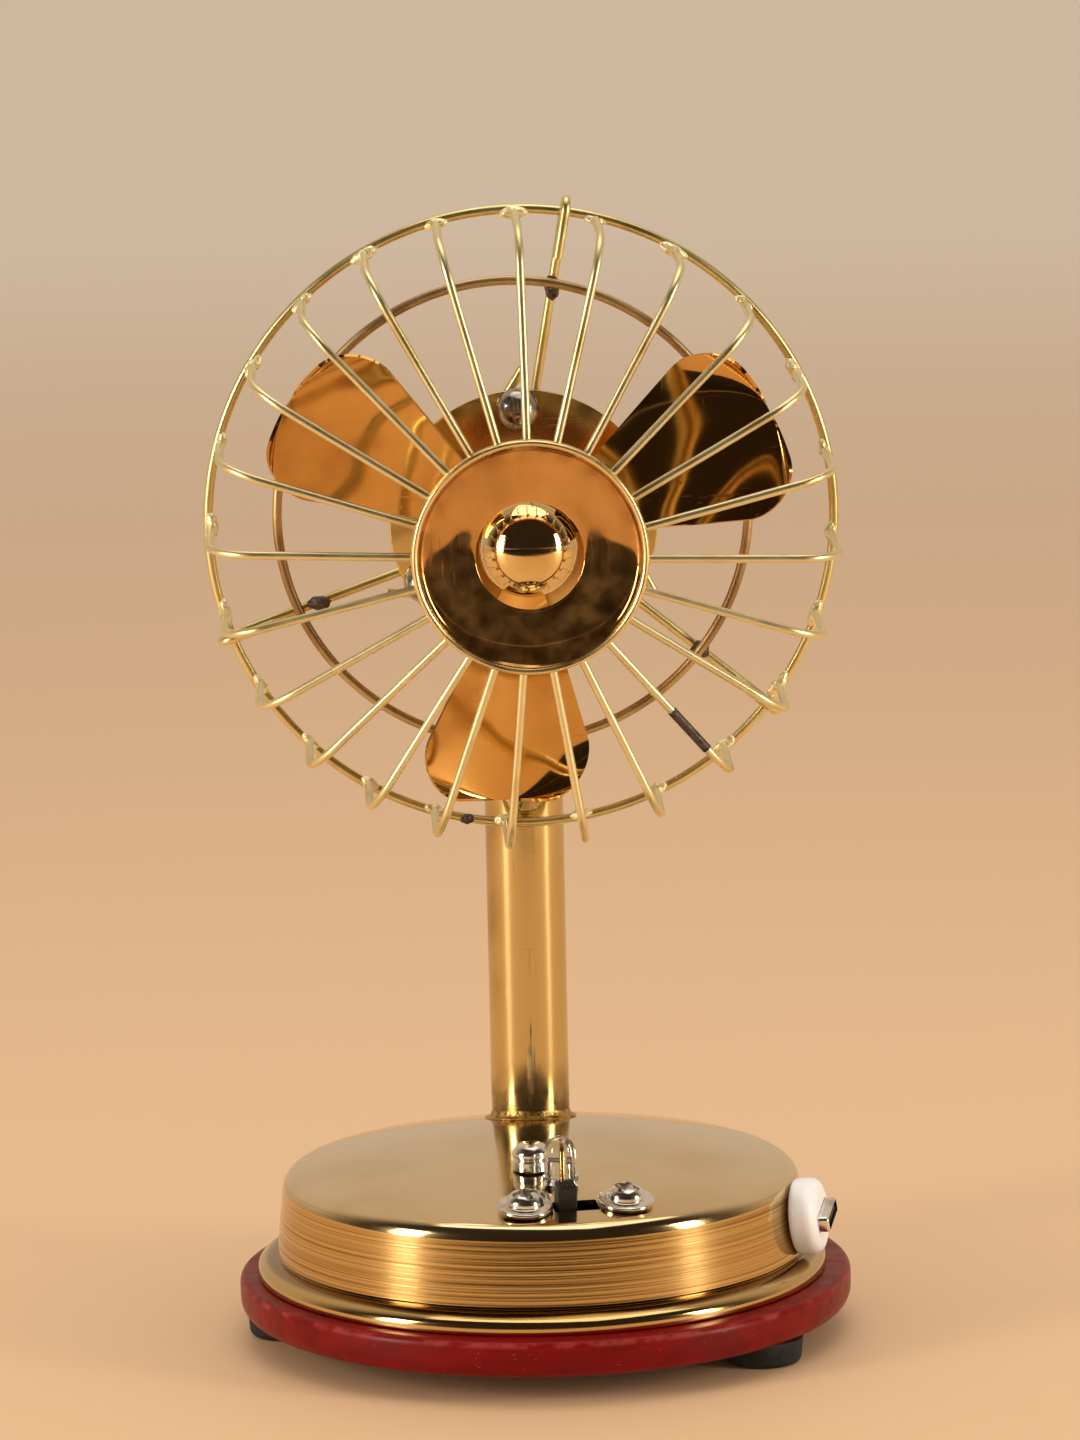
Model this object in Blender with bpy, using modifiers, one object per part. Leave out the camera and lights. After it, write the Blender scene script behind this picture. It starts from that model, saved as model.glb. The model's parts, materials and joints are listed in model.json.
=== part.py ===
"""A small brass desk fan: wire guard, three blades, post, drum and a lacquered wooden foot.

Sizes are in millimetres, and the helpers scale them to metres. The origin is on the ground
at the middle of the object, +Z is up and the fan blows towards -Y.
"""
import math

import bmesh
import bpy
from mathutils import Euler, Vector

MM = 0.001
GAP = 0.3                     # left between touching pieces

# Base
BASE_X = 1.3                  # the foot stands a little to the right of the guard's middle
WOOD_RADIUS = 50.1
WOOD_BOTTOM = 4.2
WOOD_TOP = 10.4
FOOT_RADIUS = 6.5
FOOT_CIRCLE = 42.5
FOOT_ANGLES = (-35.5, -178.0, 73.0)

# Brass drum
DRUM_X = 0.8
DRUM_Y = 0.0
DRUM_WALL = 0.8
DRUM_BOTTOM = WOOD_TOP + GAP
WALL_FOOT = (43.3, 14.3)      # radius and height of the wall's lower edge
WALL_HEAD = (42.2, 25.2)      # radius and height where the shoulder starts
SHOULDER = 1.8
RIM_RADIUS = WALL_HEAD[0] - SHOULDER
RIM_HEIGHT = WALL_HEAD[1] + SHOULDER
DOME_RISE = 4.5
DOME_CUT = (24.0, 36.0)       # heights that a hole through the dome spans
LED_HOLE = 2.0
BOLT_HOLE = 1.8
SCREW_HOLE = 1.4

# Post
POST_X = -0.65
POST_Y = 25.0
POST_RADIUS = 6.55
POST_BORE = 5.55
POST_FOOT = 7.6
LEAD_HOLE = 3.5

# Head: its own frame has x to the right, y up and z forward along the fan's axis
HEAD = (0.35, 11.0, 131.8)
HEAD_TILT = 5.0               # degrees that the axis looks down
HEAD_YAW = 2.0                # degrees that it looks towards +X
PLATE_RADIUS = 21.9
PLATE_THICK = 0.7
CUP_RADIUS = 14.5
CUP_WALL = 0.8
CUP_LENGTH = 29.5
CAN_RADIUS = 10.2
CAN_BACK = -21.0
SHAFT_ENDS = (-23.1, 20.2)
ARMATURE_RADIUS = 8.3
ARMATURE_ENDS = (-4.0, -19.0)
PLATE_SCREW_RADIUS = 18.8
PLATE_SCREW_ANGLES = (92.4, 210.0, 331.6)

# Guard
WIRE = 0.7
ROD = 0.8
RING_RADIUS = 51.0
RING_SHIFT = (-0.35, 0.5)
REAR_RADIUS = 38.4
REAR_SHIFT = (-1.75, 1.5)
RING_DEPTH = 0.05             # forward of the plate's face
HOOK = 2 * ROD + GAP          # from the ring's middle to the arm's middle
ARM_DEPTH = RING_DEPTH - HOOK
HOOK_ANGLES = (81.2, 201.1, 321.4)
HOOK_RETURN = 7.4
EYE = 2.6
TAIL = 6.5
WIRE_COUNT = 24
WIRE_FIRST = 91.0
WIRE_STRAY = (2.8, 1.8, 1.4, 0.8)    # degrees that hand soldering strays from even spacing
WIRE_RADIUS = 50.6
BEND_DEPTH = 22.0
BEND = 7.5
WIRE_END = (17.4, 25.8)       # radius and depth where a wire meets the medallion
MEDALLION_RADIUS = 18.95
MEDALLION_HOLE = 8.9

# Rotor
SHAFT_RADIUS = 1.0
BORE = SHAFT_RADIUS + GAP
HUB_RADIUS = 4.6
BLADE_ANGLES = (26.5, 148.5, 264.0)
BLADE_ROOT = HUB_RADIUS + 0.4
BLADE_TIP = 44.0
BLADE_CORNER = 8.0
BLADE_HALF = 21.5             # degrees from the blade's middle to its straight sides
BLADE_DEPTH = 11.0
BLADE_PITCH = (30.0, 17.0)    # degrees at the root and at the tip
BLADE_CUP = 2.6
BLADE_SHEET = 0.5

# Things on the drum
SWITCH = (5.5, -33.9)         # from the drum's axis
SWITCH_YAW = 10.8
SCREW_REACH = 8.15
SLOT = (7.3, 4.0)
KNOB = (3.1, 3.4, 4.0)
KNOB_REST = -1.6
BRACKET = (20.0, 4.4, 0.6)
BLOCK = (8.8, 3.8, 3.6)
STEM = (1.6, 1.2, 3.0)
CHANNEL = (5.6, 1.8, 4.0)
DOME_SAG = 0.5                # how far the dome falls away along the switch's bracket
LED = (3.2, -25.3)
BOLT = (-1.4, -18.0)
BOLT_END = 5.9                # height of its point, inside the wood
USB_ANGLE = -15.0
USB_HEIGHT = 20.2
USB_ROLL = 16.0
USB_CAP_RADIUS = 6.2
USB_SHELL = (7.5, 2.6)
USB_SHELL_LENGTH = 11.8
USB_WALL_HOLE = 4.6
USB_BOARD = (12.0, 1.0, 12.0)


def clear_scene():
    for item in list(bpy.data.objects):
        bpy.data.objects.remove(item, do_unlink=True)


clear_scene()
PARTS = bpy.data.collections.new("desk_fan")
CUTTERS = bpy.data.collections.new("cutters")
bpy.context.scene.collection.children.link(PARTS)
bpy.context.scene.collection.children.link(CUTTERS)


def material(name, colour, metallic, roughness):
    made = bpy.data.materials.new(name)
    made.use_nodes = True
    shader = made.node_tree.nodes["Principled BSDF"]
    shader.inputs["Base Color"].default_value = (*colour, 1.0)
    shader.inputs["Metallic"].default_value = metallic
    shader.inputs["Roughness"].default_value = roughness
    return made


BRASS = material("polished_brass", (0.80, 0.58, 0.26), 1.0, 0.15)
WIRE_BRASS = material("brass_wire", (0.82, 0.66, 0.32), 1.0, 0.3)
NICKEL = material("nickel", (0.75, 0.74, 0.72), 1.0, 0.2)
STEEL = material("steel", (0.45, 0.45, 0.46), 1.0, 0.35)
RED_WOOD = material("red_lacquer", (0.32, 0.01, 0.01), 0.0, 0.3)
RUBBER = material("black_rubber", (0.02, 0.02, 0.02), 0.0, 0.8)
WHITE = material("white_plastic", (0.85, 0.83, 0.78), 0.0, 0.4)
BLACK = material("black_plastic", (0.015, 0.015, 0.015), 0.0, 0.35)
CLEAR = material("clear_epoxy", (0.85, 0.85, 0.85), 0.0, 0.05)
BOARD = material("green_board", (0.02, 0.18, 0.07), 0.0, 0.5)


def empty(name, location, rotation=(0.0, 0.0, 0.0), parent=None):
    """A frame to model in. Its location is in millimetres and its rotation in degrees."""
    made = bpy.data.objects.new(name, None)
    made.location = Vector(location) * MM
    made.rotation_euler = Euler([math.radians(turn) for turn in rotation])
    made.parent = parent
    PARTS.objects.link(made)
    return made


def place(name, data, finish, parent=None, location=(0.0, 0.0, 0.0), turn=0.0):
    made = bpy.data.objects.new(name, data)
    made.location = Vector(location) * MM
    made.rotation_euler.z = math.radians(turn)
    made.parent = parent
    if finish is None:
        CUTTERS.objects.link(made)
        made.display_type = "WIRE"
        made.hide_render = True
    else:
        data.materials.append(finish)
        PARTS.objects.link(made)
    return made


def arc(middle, radius, start, end, count):
    """Points on an arc in a profile's plane; angles in degrees from outward, towards up."""
    points = []
    for step in range(count + 1):
        turn = math.radians(start + (end - start) * step / count)
        points.append((middle[0] + radius * math.cos(turn), middle[1] + radius * math.sin(turn)))
    return points


def turned(name, profile, finish, steps, parent=None, location=(0.0, 0.0, 0.0), loop=False):
    """A lathe shape. The profile runs down the outer side; loop joins its last point to its first."""
    mesh = bpy.data.meshes.new(name)
    points = [(radius * MM, 0.0, height * MM) for radius, height in profile]
    edges = [(index, index + 1) for index in range(len(points) - 1)]
    if loop:
        edges.append((len(points) - 1, 0))
    mesh.from_pydata(points, edges, [])
    made = place(name, mesh, finish, parent, location)
    screw = made.modifiers.new("turn", "SCREW")
    screw.steps = steps
    screw.render_steps = steps
    screw.use_merge_vertices = True
    screw.merge_threshold = 0.00001
    return made


def box(name, size, finish, parent=None, location=(0.0, 0.0, 0.0), turn=0.0):
    """A block whose location is its middle."""
    mesh = bpy.data.meshes.new(name)
    block = bmesh.new()
    bmesh.ops.create_cube(block, size=1.0)
    bmesh.ops.scale(block, vec=Vector(size) * MM, verts=block.verts)
    block.to_mesh(mesh)
    block.free()
    return place(name, mesh, finish, parent, location, turn)


def rod(name, radius, low, high, finish, sides, parent=None, location=(0.0, 0.0, 0.0)):
    """A plain cylinder along z from low to high."""
    mesh = bpy.data.meshes.new(name)
    round_bar = bmesh.new()
    bmesh.ops.create_cone(round_bar, cap_ends=True, segments=sides, radius1=radius * MM,
                          radius2=radius * MM, depth=(high - low) * MM)
    bmesh.ops.translate(round_bar, vec=(0.0, 0.0, (high + low) / 2 * MM), verts=round_bar.verts)
    round_bar.to_mesh(mesh)
    round_bar.free()
    return place(name, mesh, finish, parent, location)


def wire(name, points, radius, finish, parent=None):
    curve = bpy.data.curves.new(name, "CURVE")
    curve.dimensions = "3D"
    curve.bevel_depth = radius * MM
    curve.bevel_resolution = 2
    curve.use_fill_caps = True
    spline = curve.splines.new("POLY")
    spline.points.add(len(points) - 1)
    for target, point in zip(spline.points, points):
        target.co = (*(Vector(point) * MM), 1.0)
    return place(name, curve, finish, parent)


def torus(name, radius, thickness, finish, parent, location):
    bpy.ops.mesh.primitive_torus_add(major_radius=radius * MM, minor_radius=thickness * MM,
                                     major_segments=56, minor_segments=8)
    raw = bpy.context.active_object
    mesh = raw.data
    bpy.data.objects.remove(raw)
    mesh.name = name
    mesh.shade_smooth()
    return place(name, mesh, finish, parent, location)


def combine(target, tool, operation="DIFFERENCE"):
    cut = target.modifiers.new(tool.name, "BOOLEAN")
    cut.operation = operation
    cut.object = tool


def dome_height(radius):
    """Height of the drum's domed top, at a distance from its axis."""
    return RIM_HEIGHT + DOME_RISE * (1 - (radius / RIM_RADIUS) ** 2)


def dome_point(spot):
    """A place on the drum's top, given from the drum's axis."""
    return (DRUM_X + spot[0], DRUM_Y + spot[1], dome_height(math.hypot(*spot)))


def dome_profile(offset, count=5):
    points = []
    for step in range(count + 1):
        radius = RIM_RADIUS * step / count
        points.append((radius, dome_height(radius) + offset))
    return points


def polar(radius, angle, depth=0.0, shift=(0.0, 0.0)):
    turn = math.radians(angle)
    return Vector((shift[0] + radius * math.cos(turn), shift[1] + radius * math.sin(turn), depth))


head = empty("head_axis", HEAD, (90.0 + HEAD_TILT, 0.0, HEAD_YAW))
rotor = empty("rotor_axis", (0.0, 0.0, 0.0), parent=head)


def build_foot():
    wood = turned("wood_base", [(0, WOOD_TOP)]
                  + arc((WOOD_RADIUS - 1.4, WOOD_TOP - 1.4), 1.4, 90, 0, 3)
                  + arc((WOOD_RADIUS - 2.0, WOOD_BOTTOM + 2.0), 2.0, 0, -90, 3)
                  + [(0, WOOD_BOTTOM)], RED_WOOD, 40, location=(BASE_X, 0.0, 0.0))
    pilot = rod("bolt_pilot", BOLT_HOLE, BOLT_END - GAP, WOOD_TOP + 2, None, 12,
                location=(DRUM_X + BOLT[0], DRUM_Y + BOLT[1], 0.0))
    combine(wood, pilot)
    top = WOOD_BOTTOM - GAP
    profile = [(0, top), (FOOT_RADIUS, top), (FOOT_RADIUS - 0.3, 0.7), (FOOT_RADIUS - 1, 0), (0, 0)]
    for index, angle in enumerate(FOOT_ANGLES, 1):
        spot = polar(FOOT_CIRCLE, angle, 0.0, (BASE_X, 0.0))
        turned(f"rubber_foot_{index}", profile, RUBBER, 20, location=spot)


def build_drum():
    shoulder = (RIM_RADIUS, WALL_HEAD[1])
    outside = dome_profile(0.0) + arc(shoulder, SHOULDER, 90, 0, 3)[1:]
    flange = [WALL_FOOT, (43.0, 13.9), (44.4, 13.6), (45.4, 12.9), (46.5, 12.2), (46.6, 11.5),
              (46.3, DRUM_BOTTOM)]
    inside = [(42.4, DRUM_BOTTOM), (WALL_FOOT[0] - DRUM_WALL, WALL_FOOT[1])]
    inside += arc(shoulder, SHOULDER - DRUM_WALL, 0, 90, 2)[:-1]
    inside += list(reversed(dome_profile(-DRUM_WALL)))
    drum = turned("base_drum", outside + flange + inside, BRASS, 48, location=(DRUM_X, DRUM_Y, 0.0))
    cutters = [
        box("switch_slot", (*SLOT, 8.0), None, parent=switch_frame),
        rod("led_hole", LED_HOLE, *DOME_CUT, None, 12, location=(DRUM_X + LED[0], DRUM_Y + LED[1], 0.0)),
        rod("bolt_hole", BOLT_HOLE, *DOME_CUT, None, 12, location=(DRUM_X + BOLT[0], DRUM_Y + BOLT[1], 0.0)),
        rod("lead_hole", LEAD_HOLE, *DOME_CUT, None, 12, location=(POST_X, POST_Y, 0.0)),
        rod("usb_wall_hole", USB_WALL_HOLE, -5, 5, None, 16, parent=usb_frame),
    ]
    for side in (-1, 1):
        cutters.append(rod(f"screw_hole_{side}", SCREW_HOLE, -4, 4, None, 10, parent=switch_frame,
                           location=(side * SCREW_REACH, 0.0, 0.0)))
    for tool in cutters:
        combine(drum, tool)


def build_post():
    top = HEAD[2] - CUP_RADIUS + 4
    profile = [(POST_RADIUS, top), (POST_RADIUS, 33.6), (6.9, 32.5), (POST_FOOT, 31.9),
               (POST_FOOT, 26.0), (POST_BORE, 26.0), (POST_BORE, top)]
    post = turned("post_tube", profile, BRASS, 32, location=(POST_X, POST_Y, 0.0), loop=True)
    dome = dome_profile(GAP) + [(RIM_RADIUS, 20.0), (0.0, 20.0)]
    combine(post, turned("dome_cutter", dome, None, 48, location=(DRUM_X, DRUM_Y, 0.0)))
    combine(post, rod("saddle_cutter", CUP_RADIUS + GAP, -CUP_LENGTH - 6, 6, None, 40, parent=head))


def build_switch():
    bracket_top = -DRUM_WALL - GAP - DOME_SAG
    body = box("switch_body", BRACKET, BLACK, switch_frame, (0, 0, bracket_top - BRACKET[2] / 2))
    block = box("switch_block", BLOCK, None, switch_frame, (0, 0, bracket_top - 0.4 - BLOCK[2] / 2))
    combine(body, block, "UNION")
    channel = box("stem_channel", CHANNEL, None, switch_frame, (-0.1, 0, bracket_top))
    combine(body, channel)
    for side, label in ((-1, "left"), (1, "right")):
        spot = (side * SCREW_REACH, 0.0, 0.0)
        hole = rod(f"bracket_hole_{label}", SCREW_HOLE, -4, 4, None, 10, switch_frame, spot)
        combine(body, hole)
        flange = [(4.5, 1.0), (4.55, 0.7), (4.2, GAP), (1.1, GAP), (1.1, -3.0), (0, -3.0)]
        dome = [(0, 3.0), (1.2, 2.85), (2.2, 2.3), (2.9, 1.3)]
        turned(f"switch_screw_{label}", dome + flange, NICKEL, 16, switch_frame, spot)
    knob_low = bracket_top + GAP
    knob_height = KNOB[2] - knob_low
    knob = box("switch_slider", (KNOB[0], KNOB[1], knob_height), BLACK, switch_frame,
               (KNOB_REST, 0, KNOB[2] - knob_height / 2))
    stem = box("slider_stem", STEM, None, switch_frame, (KNOB_REST, 0, knob_low - 0.2))
    combine(knob, stem, "UNION")


def build_led():
    spot = dome_point(LED)
    base = (spot[0], spot[1], spot[2] + GAP + 0.45)
    profile = arc((0.0, 5.1), 2.5, 90, 0, 4) + [(2.5, 1.0), (2.9, 1.0), (2.9, 0.0), (0.0, 0.0)]
    lamp = turned("led_lamp", profile, CLEAR, 16, location=base)
    for side in (-1, 1):
        lead = rod(f"led_lead_{side}", 0.28, -9.0, 1.2, None, 8,
                   location=(base[0] + side * 1.27, base[1], base[2]))
        combine(lamp, lead, "UNION")


def build_bolt():
    spot = dome_point(BOLT)
    seat = spot[2] + GAP + 0.35
    profile = [(0, seat + 3.8), (1.6, seat + 3.6), (2.7, seat + 2.9), (3.1, seat + 1.9), (3.1, seat),
               (1.5, seat), (1.5, BOLT_END), (0, BOLT_END)]
    turned("drum_bolt", profile, NICKEL, 16, location=(spot[0], spot[1], 0.0))


def build_usb():
    outer = USB_CAP_RADIUS
    profile = [(0, 4.5), (3.4, 4.4)] + arc((outer - 1.6, 2.9), 1.6, 70, 0, 3)
    profile += [(outer, 0.8), (outer - 0.4, GAP), (0, GAP)]
    cap = turned("usb_cap", profile, WHITE, 28, usb_frame)
    window = box("cap_window", (USB_SHELL[0] + 0.6, USB_SHELL[1] + 0.6, 20.0), None, usb_frame,
                 turn=USB_ROLL)
    combine(cap, window)
    shell = box("usb_socket", (*USB_SHELL, USB_SHELL_LENGTH), NICKEL, usb_frame, (0, 0, 0.4), USB_ROLL)
    mouth = box("socket_mouth", (USB_SHELL[0] - 0.8, USB_SHELL[1] - 0.8, 10.0), None, usb_frame,
                (0, 0, 6.3), USB_ROLL)
    combine(shell, mouth)
    board_drop = Vector((0.0, -(USB_SHELL[1] + USB_BOARD[1]) / 2 - GAP, -8.2))
    board_drop.rotate(Euler((0.0, 0.0, math.radians(USB_ROLL))))
    box("usb_board", USB_BOARD, BOARD, usb_frame, board_drop, USB_ROLL)


def build_housing():
    edge = PLATE_RADIUS
    plate = turned("housing_plate", [(3.6, 0), (edge - 0.2, 0), (edge, -0.2), (edge, -PLATE_THICK),
                                     (3.6, -PLATE_THICK)], BRASS, 48, head, loop=True)
    front = -PLATE_THICK - GAP
    inner = CUP_RADIUS - CUP_WALL
    back = -CUP_LENGTH
    profile = [(0, back + CUP_WALL), (11.0, back + 1.3), (inner, back + 4.0), (inner, front),
               (CUP_RADIUS, front), (CUP_RADIUS, back + 3.6)]
    profile += [(CUP_RADIUS - 0.8, back + 1.8), (CUP_RADIUS - 3.0, back + 0.5), (0, back)]
    cup = turned("motor_housing", profile, BRASS, 36, head)
    under = HEAD[2] - CUP_RADIUS
    combine(cup, rod("lead_opening", LEAD_HOLE, under - 6, under + 6, None, 12,
                     location=(POST_X, POST_Y, 0.0)))
    for index, angle in enumerate(PLATE_SCREW_ANGLES, 1):
        spot = polar(PLATE_SCREW_RADIUS, angle)
        combine(plate, rod(f"plate_hole_{index}", 1.7, -3, 3, None, 10, head, spot))
        dome = [(0, 3.9), (1.6, 3.6), (2.8, 2.7), (3.5, 1.4), (3.55, GAP)]
        turned(f"plate_screw_{index}", dome + [(1.4, GAP), (1.4, -4.5), (0, -4.5)], NICKEL, 16, head, spot)


def build_motor():
    wall = CAN_RADIUS - 0.8
    can = [(1.6, 0.4), (3.2, 0.4), (3.2, -1.2), (CAN_RADIUS, -1.2), (CAN_RADIUS, CAN_BACK),
           (wall, CAN_BACK), (wall, -2.0), (1.6, -2.0)]
    turned("motor_can", can, STEEL, 28, head, loop=True)
    front = CAN_BACK - GAP
    cap = [(0, -23.4), (BORE, -23.4), (BORE, front), (CAN_RADIUS, front), (CAN_RADIUS, -23.6), (wall, -24.4),
           (0, -24.4)]
    turned("motor_end_cap", cap, WHITE, 28, head)
    rod("motor_shaft", SHAFT_RADIUS, *SHAFT_ENDS, STEEL, 12, rotor)
    near, far = ARMATURE_ENDS
    turned("armature", [(ARMATURE_RADIUS, near), (ARMATURE_RADIUS, far), (BORE, far), (BORE, near)], STEEL, 20,
           rotor, loop=True)


def build_leads():
    """Two-core lead from the drum, up the post and round the motor can to its back."""
    inside_cup = [(0.0, -17.0, -14.3), (0.0, -14.3, -14.6), (0.0, -12.4, -15.8), (0.0, -12.0, -18.0),
                  (0.0, -12.0, -23.5), (0.0, -11.0, -25.6), (0.0, -8.5, -26.4), (0.0, -4.5, -26.4)]
    turn = Euler([math.radians(value) for value in (90.0 + HEAD_TILT, 0.0, HEAD_YAW)])
    route = [Vector((POST_X - 4.0, POST_Y - 5.0, 14.0)), Vector((POST_X - 1.0, POST_Y - 1.5, 19.0)),
             Vector((POST_X, POST_Y, 25.0)), Vector((POST_X, POST_Y, 110.0))]
    for point in inside_cup:
        spot = Vector(point)
        spot.rotate(turn)
        route.append(spot + Vector(HEAD))
    wire("motor_leads", route, 0.8, BLACK)


def build_rings():
    torus("outer_ring", RING_RADIUS, ROD, WIRE_BRASS, head, (*RING_SHIFT, RING_DEPTH))
    torus("rear_ring", REAR_RADIUS, ROD, WIRE_BRASS, head, (*REAR_SHIFT, RING_DEPTH))


def arm_route(screw_angle, hook_angle):
    """An eye round its plate screw, a straight run behind both rings and a hook over the outer one."""
    screw = polar(PLATE_SCREW_RADIUS, screw_angle, ARM_DEPTH)
    hook = polar(RING_RADIUS, hook_angle, ARM_DEPTH, RING_SHIFT)
    along = (hook - screw).normalized()
    side = Vector((along.y, -along.x, 0.0))
    route = [screw - 0.5 * side + TAIL * along]
    for step in range(7):
        turn = math.radians(180 - 30 * step)
        route.append(screw + EYE * (side * math.cos(turn) - along * math.sin(turn)))
    along = (hook - route[-1]).normalized()
    middle = hook + Vector((0.0, 0.0, HOOK))
    for step in range(6):
        turn = math.radians(36 * step)
        route.append(middle + HOOK * (along * math.sin(turn) - Vector((0, 0, 1)) * math.cos(turn)))
    route.append(route[-1] - HOOK_RETURN * along)
    return route


def build_arms():
    for index, (screw, hook) in enumerate(zip(PLATE_SCREW_ANGLES, HOOK_ANGLES), 1):
        wire(f"guard_arm_{index}", arm_route(screw, hook), ROD, WIRE_BRASS, head)


def wire_route(index):
    """Forward from the ring, round a bend and in to the medallion's back."""
    turn = 2 * math.pi * index / WIRE_COUNT
    mean, once, twice, thrice = WIRE_STRAY
    stray = mean + once * math.sin(turn) - twice * (math.sin(2 * turn) + math.cos(turn))
    stray -= thrice * math.cos(3 * turn)
    angle = WIRE_FIRST - math.degrees(turn) - stray
    start = polar(WIRE_RADIUS, angle, RING_DEPTH + ROD + GAP, RING_SHIFT)
    corner = polar(WIRE_RADIUS, angle, BEND_DEPTH, RING_SHIFT)
    end = polar(WIRE_END[0], angle, WIRE_END[1])
    back = (start - corner).normalized()
    inward = (end - corner).normalized()
    half = math.acos(back.dot(inward)) / 2
    centre = corner + (back + inward).normalized() * (BEND / math.sin(half))
    out_arm = (corner + back * (BEND / math.tan(half)) - centre).normalized()
    in_arm = (corner + inward * (BEND / math.tan(half)) - centre).normalized()
    return [start] + [centre + BEND * out_arm.slerp(in_arm, step / 4) for step in range(5)] + [end]


def build_wires():
    for index in range(WIRE_COUNT):
        wire(f"guard_wire_{index + 1:02d}", wire_route(index), WIRE, WIRE_BRASS, head)


def build_medallion():
    lip = [(MEDALLION_HOLE, 27.0), (13.0, 27.1), (16.4, 27.7), (17.6, 28.6), (18.3, 28.9), (18.85, 28.5)]
    back = [(MEDALLION_RADIUS, 27.4), (18.4, 26.9), (16.6, 26.85), (13.0, 26.4), (MEDALLION_HOLE, 26.3)]
    turned("medallion", lip + back, BRASS, 48, head, loop=True)


def blade_half_width(radius):
    straight = BLADE_TIP - BLADE_CORNER
    widest = straight * math.sin(math.radians(BLADE_HALF))
    if radius <= straight:
        return radius * math.sin(math.radians(BLADE_HALF))
    over = radius - straight
    return widest - BLADE_CORNER + math.sqrt(max(BLADE_CORNER ** 2 - over ** 2, 0.0)) + 0.25 * over


def blade_mesh(name, across=6, along=9):
    """A grid bent to the blade: pitched, less so towards the tip, and cupped forward at its edges."""
    sheet = bmesh.new()
    bmesh.ops.create_grid(sheet, x_segments=along, y_segments=across, size=1.0)
    for corner in sheet.verts:
        part = math.sin((corner.co.x + 1) * math.pi / 4)
        radius = BLADE_ROOT + (BLADE_TIP - BLADE_ROOT) * part
        offset = blade_half_width(radius) * corner.co.y
        pitch = math.radians(BLADE_PITCH[0] + (BLADE_PITCH[1] - BLADE_PITCH[0]) * part)
        depth = BLADE_DEPTH - offset * math.tan(pitch) + BLADE_CUP * part * corner.co.y ** 2
        reach = math.sqrt(max(radius ** 2 - offset ** 2, 0.0))
        corner.co = Vector((reach, offset, depth)) * MM
    mesh = bpy.data.meshes.new(name)
    sheet.to_mesh(mesh)
    sheet.free()
    mesh.shade_smooth()
    return mesh


def build_rotor():
    turned("propeller_hub", [(HUB_RADIUS - 0.6, 16.2), (HUB_RADIUS, 15.6), (HUB_RADIUS, 7.5), (BORE, 7.5),
                             (BORE, 16.2)], BRASS, 24, rotor, loop=True)
    dome = [(0, 27.4), (2.2, 27.15), (4.3, 26.3), (6.1, 24.9), (7.3, 23.1), (7.9, 21.3)]
    inside = [(7.2, 21.3), (6.4, 23.2), (4.9, 24.8), (2.8, 25.6), (2.8, 16.8), (BORE, 16.8), (BORE, 20.5),
              (0, 20.5)]
    turned("spinner_cap", dome + inside, BRASS, 32, rotor)
    for index, angle in enumerate(BLADE_ANGLES, 1):
        blade = place(f"blade_{index}", blade_mesh(f"blade_{index}"), BRASS, rotor, turn=angle)
        sheet = blade.modifiers.new("sheet", "SOLIDIFY")
        sheet.thickness = BLADE_SHEET * MM
        sheet.offset = 0.0


slope = math.degrees(math.atan(2 * DOME_RISE * math.hypot(*SWITCH) / RIM_RADIUS ** 2))
switch_frame = empty("switch_frame", dome_point(SWITCH), (slope, 0.0, SWITCH_YAW))
wall_lean = math.degrees(math.atan((WALL_FOOT[0] - WALL_HEAD[0]) / (WALL_HEAD[1] - WALL_FOOT[1])))
wall_part = (USB_HEIGHT - WALL_FOOT[1]) / (WALL_HEAD[1] - WALL_FOOT[1])
wall_radius = WALL_FOOT[0] + (WALL_HEAD[0] - WALL_FOOT[0]) * wall_part
usb_frame = empty("usb_frame", polar(wall_radius, USB_ANGLE, USB_HEIGHT, (DRUM_X, DRUM_Y)),
                  (90.0 - wall_lean, 0.0, 90.0 + USB_ANGLE))

build_foot()
build_drum()
build_post()
build_switch()
build_led()
build_bolt()
build_usb()
build_housing()
build_motor()
build_leads()
build_rings()
build_arms()
build_wires()
build_medallion()
build_rotor()
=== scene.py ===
# %% [markdown]
# # A small brass desk fan
# The fan is a hand-made desk piece: a wire guard with a dished medallion, three sheet blades,
# a brass post, a spun brass drum and a red lacquered wooden foot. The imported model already
# fixes every size and every joint. This script loads it as a frame, builds a fine surface
# round each part and gives each surface its finish.

# %% Load the frame
import json
import math

import bmesh
import bpy
from mathutils import Matrix, Vector


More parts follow.
